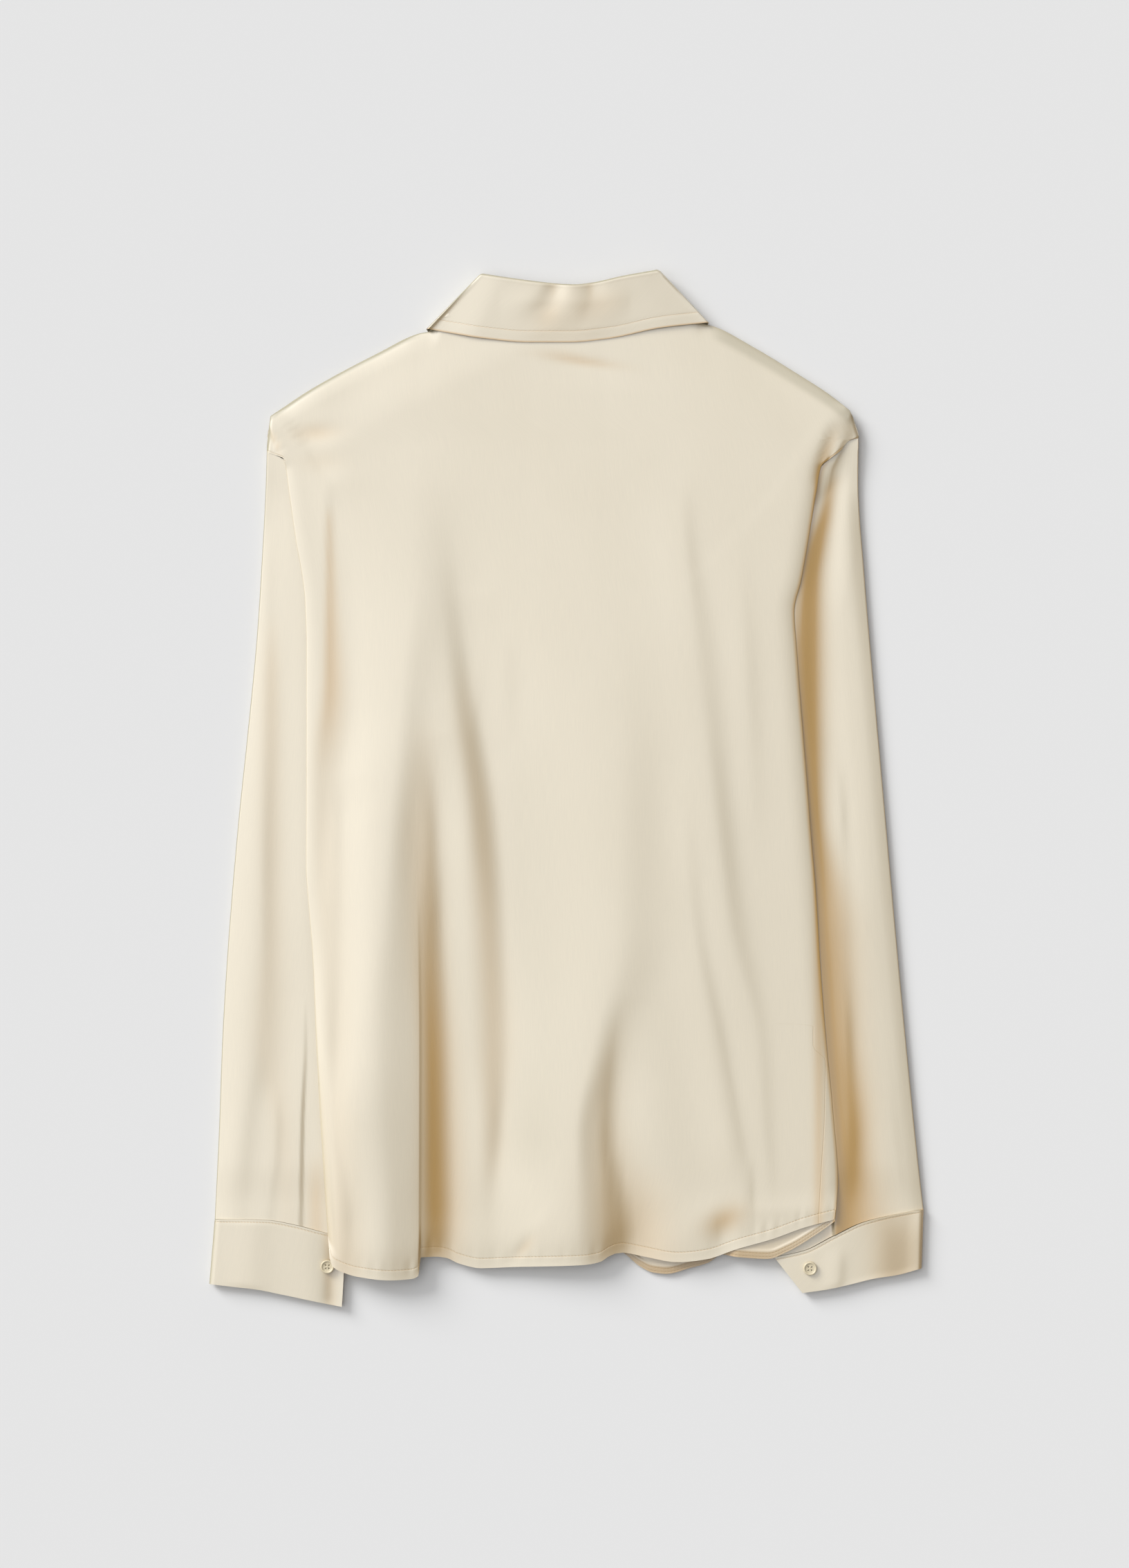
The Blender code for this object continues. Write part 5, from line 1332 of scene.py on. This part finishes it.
def make_floor():
    corners = [(-FLOOR_HALF, -FLOOR_HALF), (FLOOR_HALF, -FLOOR_HALF), (FLOOR_HALF, FLOOR_HALF),
               (-FLOOR_HALF, FLOOR_HALF)]
    mesh = bpy.data.meshes.new("floor")
    mesh.from_pydata([(x, y, FLOOR_LEVEL) for x, y in corners], [], [(0, 1, 2, 3)])
    paper = new_material("floor_paper", Base_Color=PAPER, Roughness=1.0, Specular_IOR_Level=0.0)
    mesh.materials.append(paper[0])
    floor = bpy.data.objects.new("floor", mesh)
    bpy.context.collection.objects.link(floor)


def make_lights():
    """A large soft lamp from the upper left, low enough to model the folds, over an even fill."""
    lamp = bpy.data.lights.new("key", "SUN")
    lamp.energy = KEY_STRENGTH
    lamp.angle = math.radians(KEY_ANGLE)
    key = bpy.data.objects.new("key", lamp)
    bpy.context.collection.objects.link(key)
    key.rotation_mode = "QUATERNION"
    key.rotation_quaternion = Vector(aim(KEY_AZIMUTH, KEY_ELEVATION)).to_track_quat("Z", "Y")

    world = bpy.data.worlds.new("studio")
    bpy.context.scene.world = world
    world.use_nodes = True
    tree = world.node_tree
    towards_box = add_node(tree, "VectorMath", {"operation": "DOT_PRODUCT"})
    put(tree, towards_box.inputs[0], add_node(tree, "TexCoord").outputs["Generated"])
    put(tree, towards_box.inputs[1], aim(BOX_AZIMUTH, BOX_ELEVATION))
    outer, inner = math.cos(math.radians(BOX_OUTER)), math.cos(math.radians(BOX_INNER))
    box = ranged(tree, towards_box.outputs["Value"], outer, inner, FILL_STRENGTH, BOX_STRENGTH,
                 interpolation_type="SMOOTHSTEP")
    fill = tree.nodes["Background"]
    put(tree, fill.inputs["Color"], (1.0, 1.0, 1.0))
    put(tree, fill.inputs["Strength"], box)
    seen = add_node(tree, "Background", Color=PAPER, Strength=1.0)
    mix = add_node(tree, "MixShader")
    put(tree, mix.inputs[0], add_node(tree, "LightPath").outputs["Is Camera Ray"])
    put(tree, mix.inputs[1], fill.outputs["Background"])
    put(tree, mix.inputs[2], seen.outputs["Background"])
    put(tree, tree.nodes["World Output"].inputs["Surface"], mix.outputs["Shader"])


def make_camera():
    data = bpy.data.cameras.new("camera")
    data.lens = 36.0 * CAMERA_HEIGHT / VIEW_LENGTH
    camera = bpy.data.objects.new("camera", data)
    camera.location = (VIEW_CENTRE.x * MM, VIEW_CENTRE.y * MM, CAMERA_HEIGHT * MM)
    bpy.context.collection.objects.link(camera)
    bpy.context.scene.camera = camera


# ---- the shirt ----

SLEEVE_LEFT = Sleeve(SLEEVE_LEFT_OUTER, SLEEVE_LEFT_INNER, CAP_LEFT, CUFF_LEFT, side_fold_left, LEFT_LEVELS,
                     LEFT_SLEEVE_FOLDS, LEFT_SLEEVE_GOLDEN_SHADE, {})
SLEEVE_RIGHT = Sleeve(SLEEVE_RIGHT_OUTER, SLEEVE_RIGHT_INNER, CAP_RIGHT, CUFF_RIGHT, side_fold_right,
                      RIGHT_LEVELS, RIGHT_SLEEVE_FOLDS, RIGHT_SLEEVE_GOLDEN_SHADE, RIGHT_SLEEVE_SHADE)


def dress(piece, node):
    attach(piece, "root")
    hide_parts(node)
    return piece


def main():
    satin = satin_material()
    button = button_material()
    back = dress(build_back(satin), "back")
    for name, side in (("front_left", -1.0), ("front_right", 1.0)):
        front = dress(build_front(name, satin, side), name)
    for name, sleeve in (("sleeve_left", SLEEVE_LEFT), ("sleeve_right", SLEEVE_RIGHT)):
        piece = dress(build_sleeve(name, satin, sleeve), name)
    for name, *tables in (("cuff_left", CUFF_LEFT, CUFF_LEFT_FOLDS, CUFF_LEFT_GOLDEN_SHADE, CUFF_LEFT_SHADE),
                          ("cuff_right", CUFF_RIGHT, CUFF_RIGHT_FOLDS, CUFF_RIGHT_GOLDEN_SHADE, CUFF_RIGHT_SHADE)):
        piece = dress(build_cuff(name, satin, *tables), name)
    leaf = dress(build_leaf(satin), "collar_leaf")
    stand = dress(build_stand(satin), "collar_stand")
    for name in ("cuff_button_left", "cuff_button_right"):
        dress(build_button(name, button, 1.0), name)
    for k in range(FRONT_BUTTONS):
        name = f"front_button_{k + 1}"
        dress(build_button(name, button, -1.0), name)


make_camera()
make_lights()
make_floor()
main()
bpy.context.scene.view_settings.view_transform = "Standard"
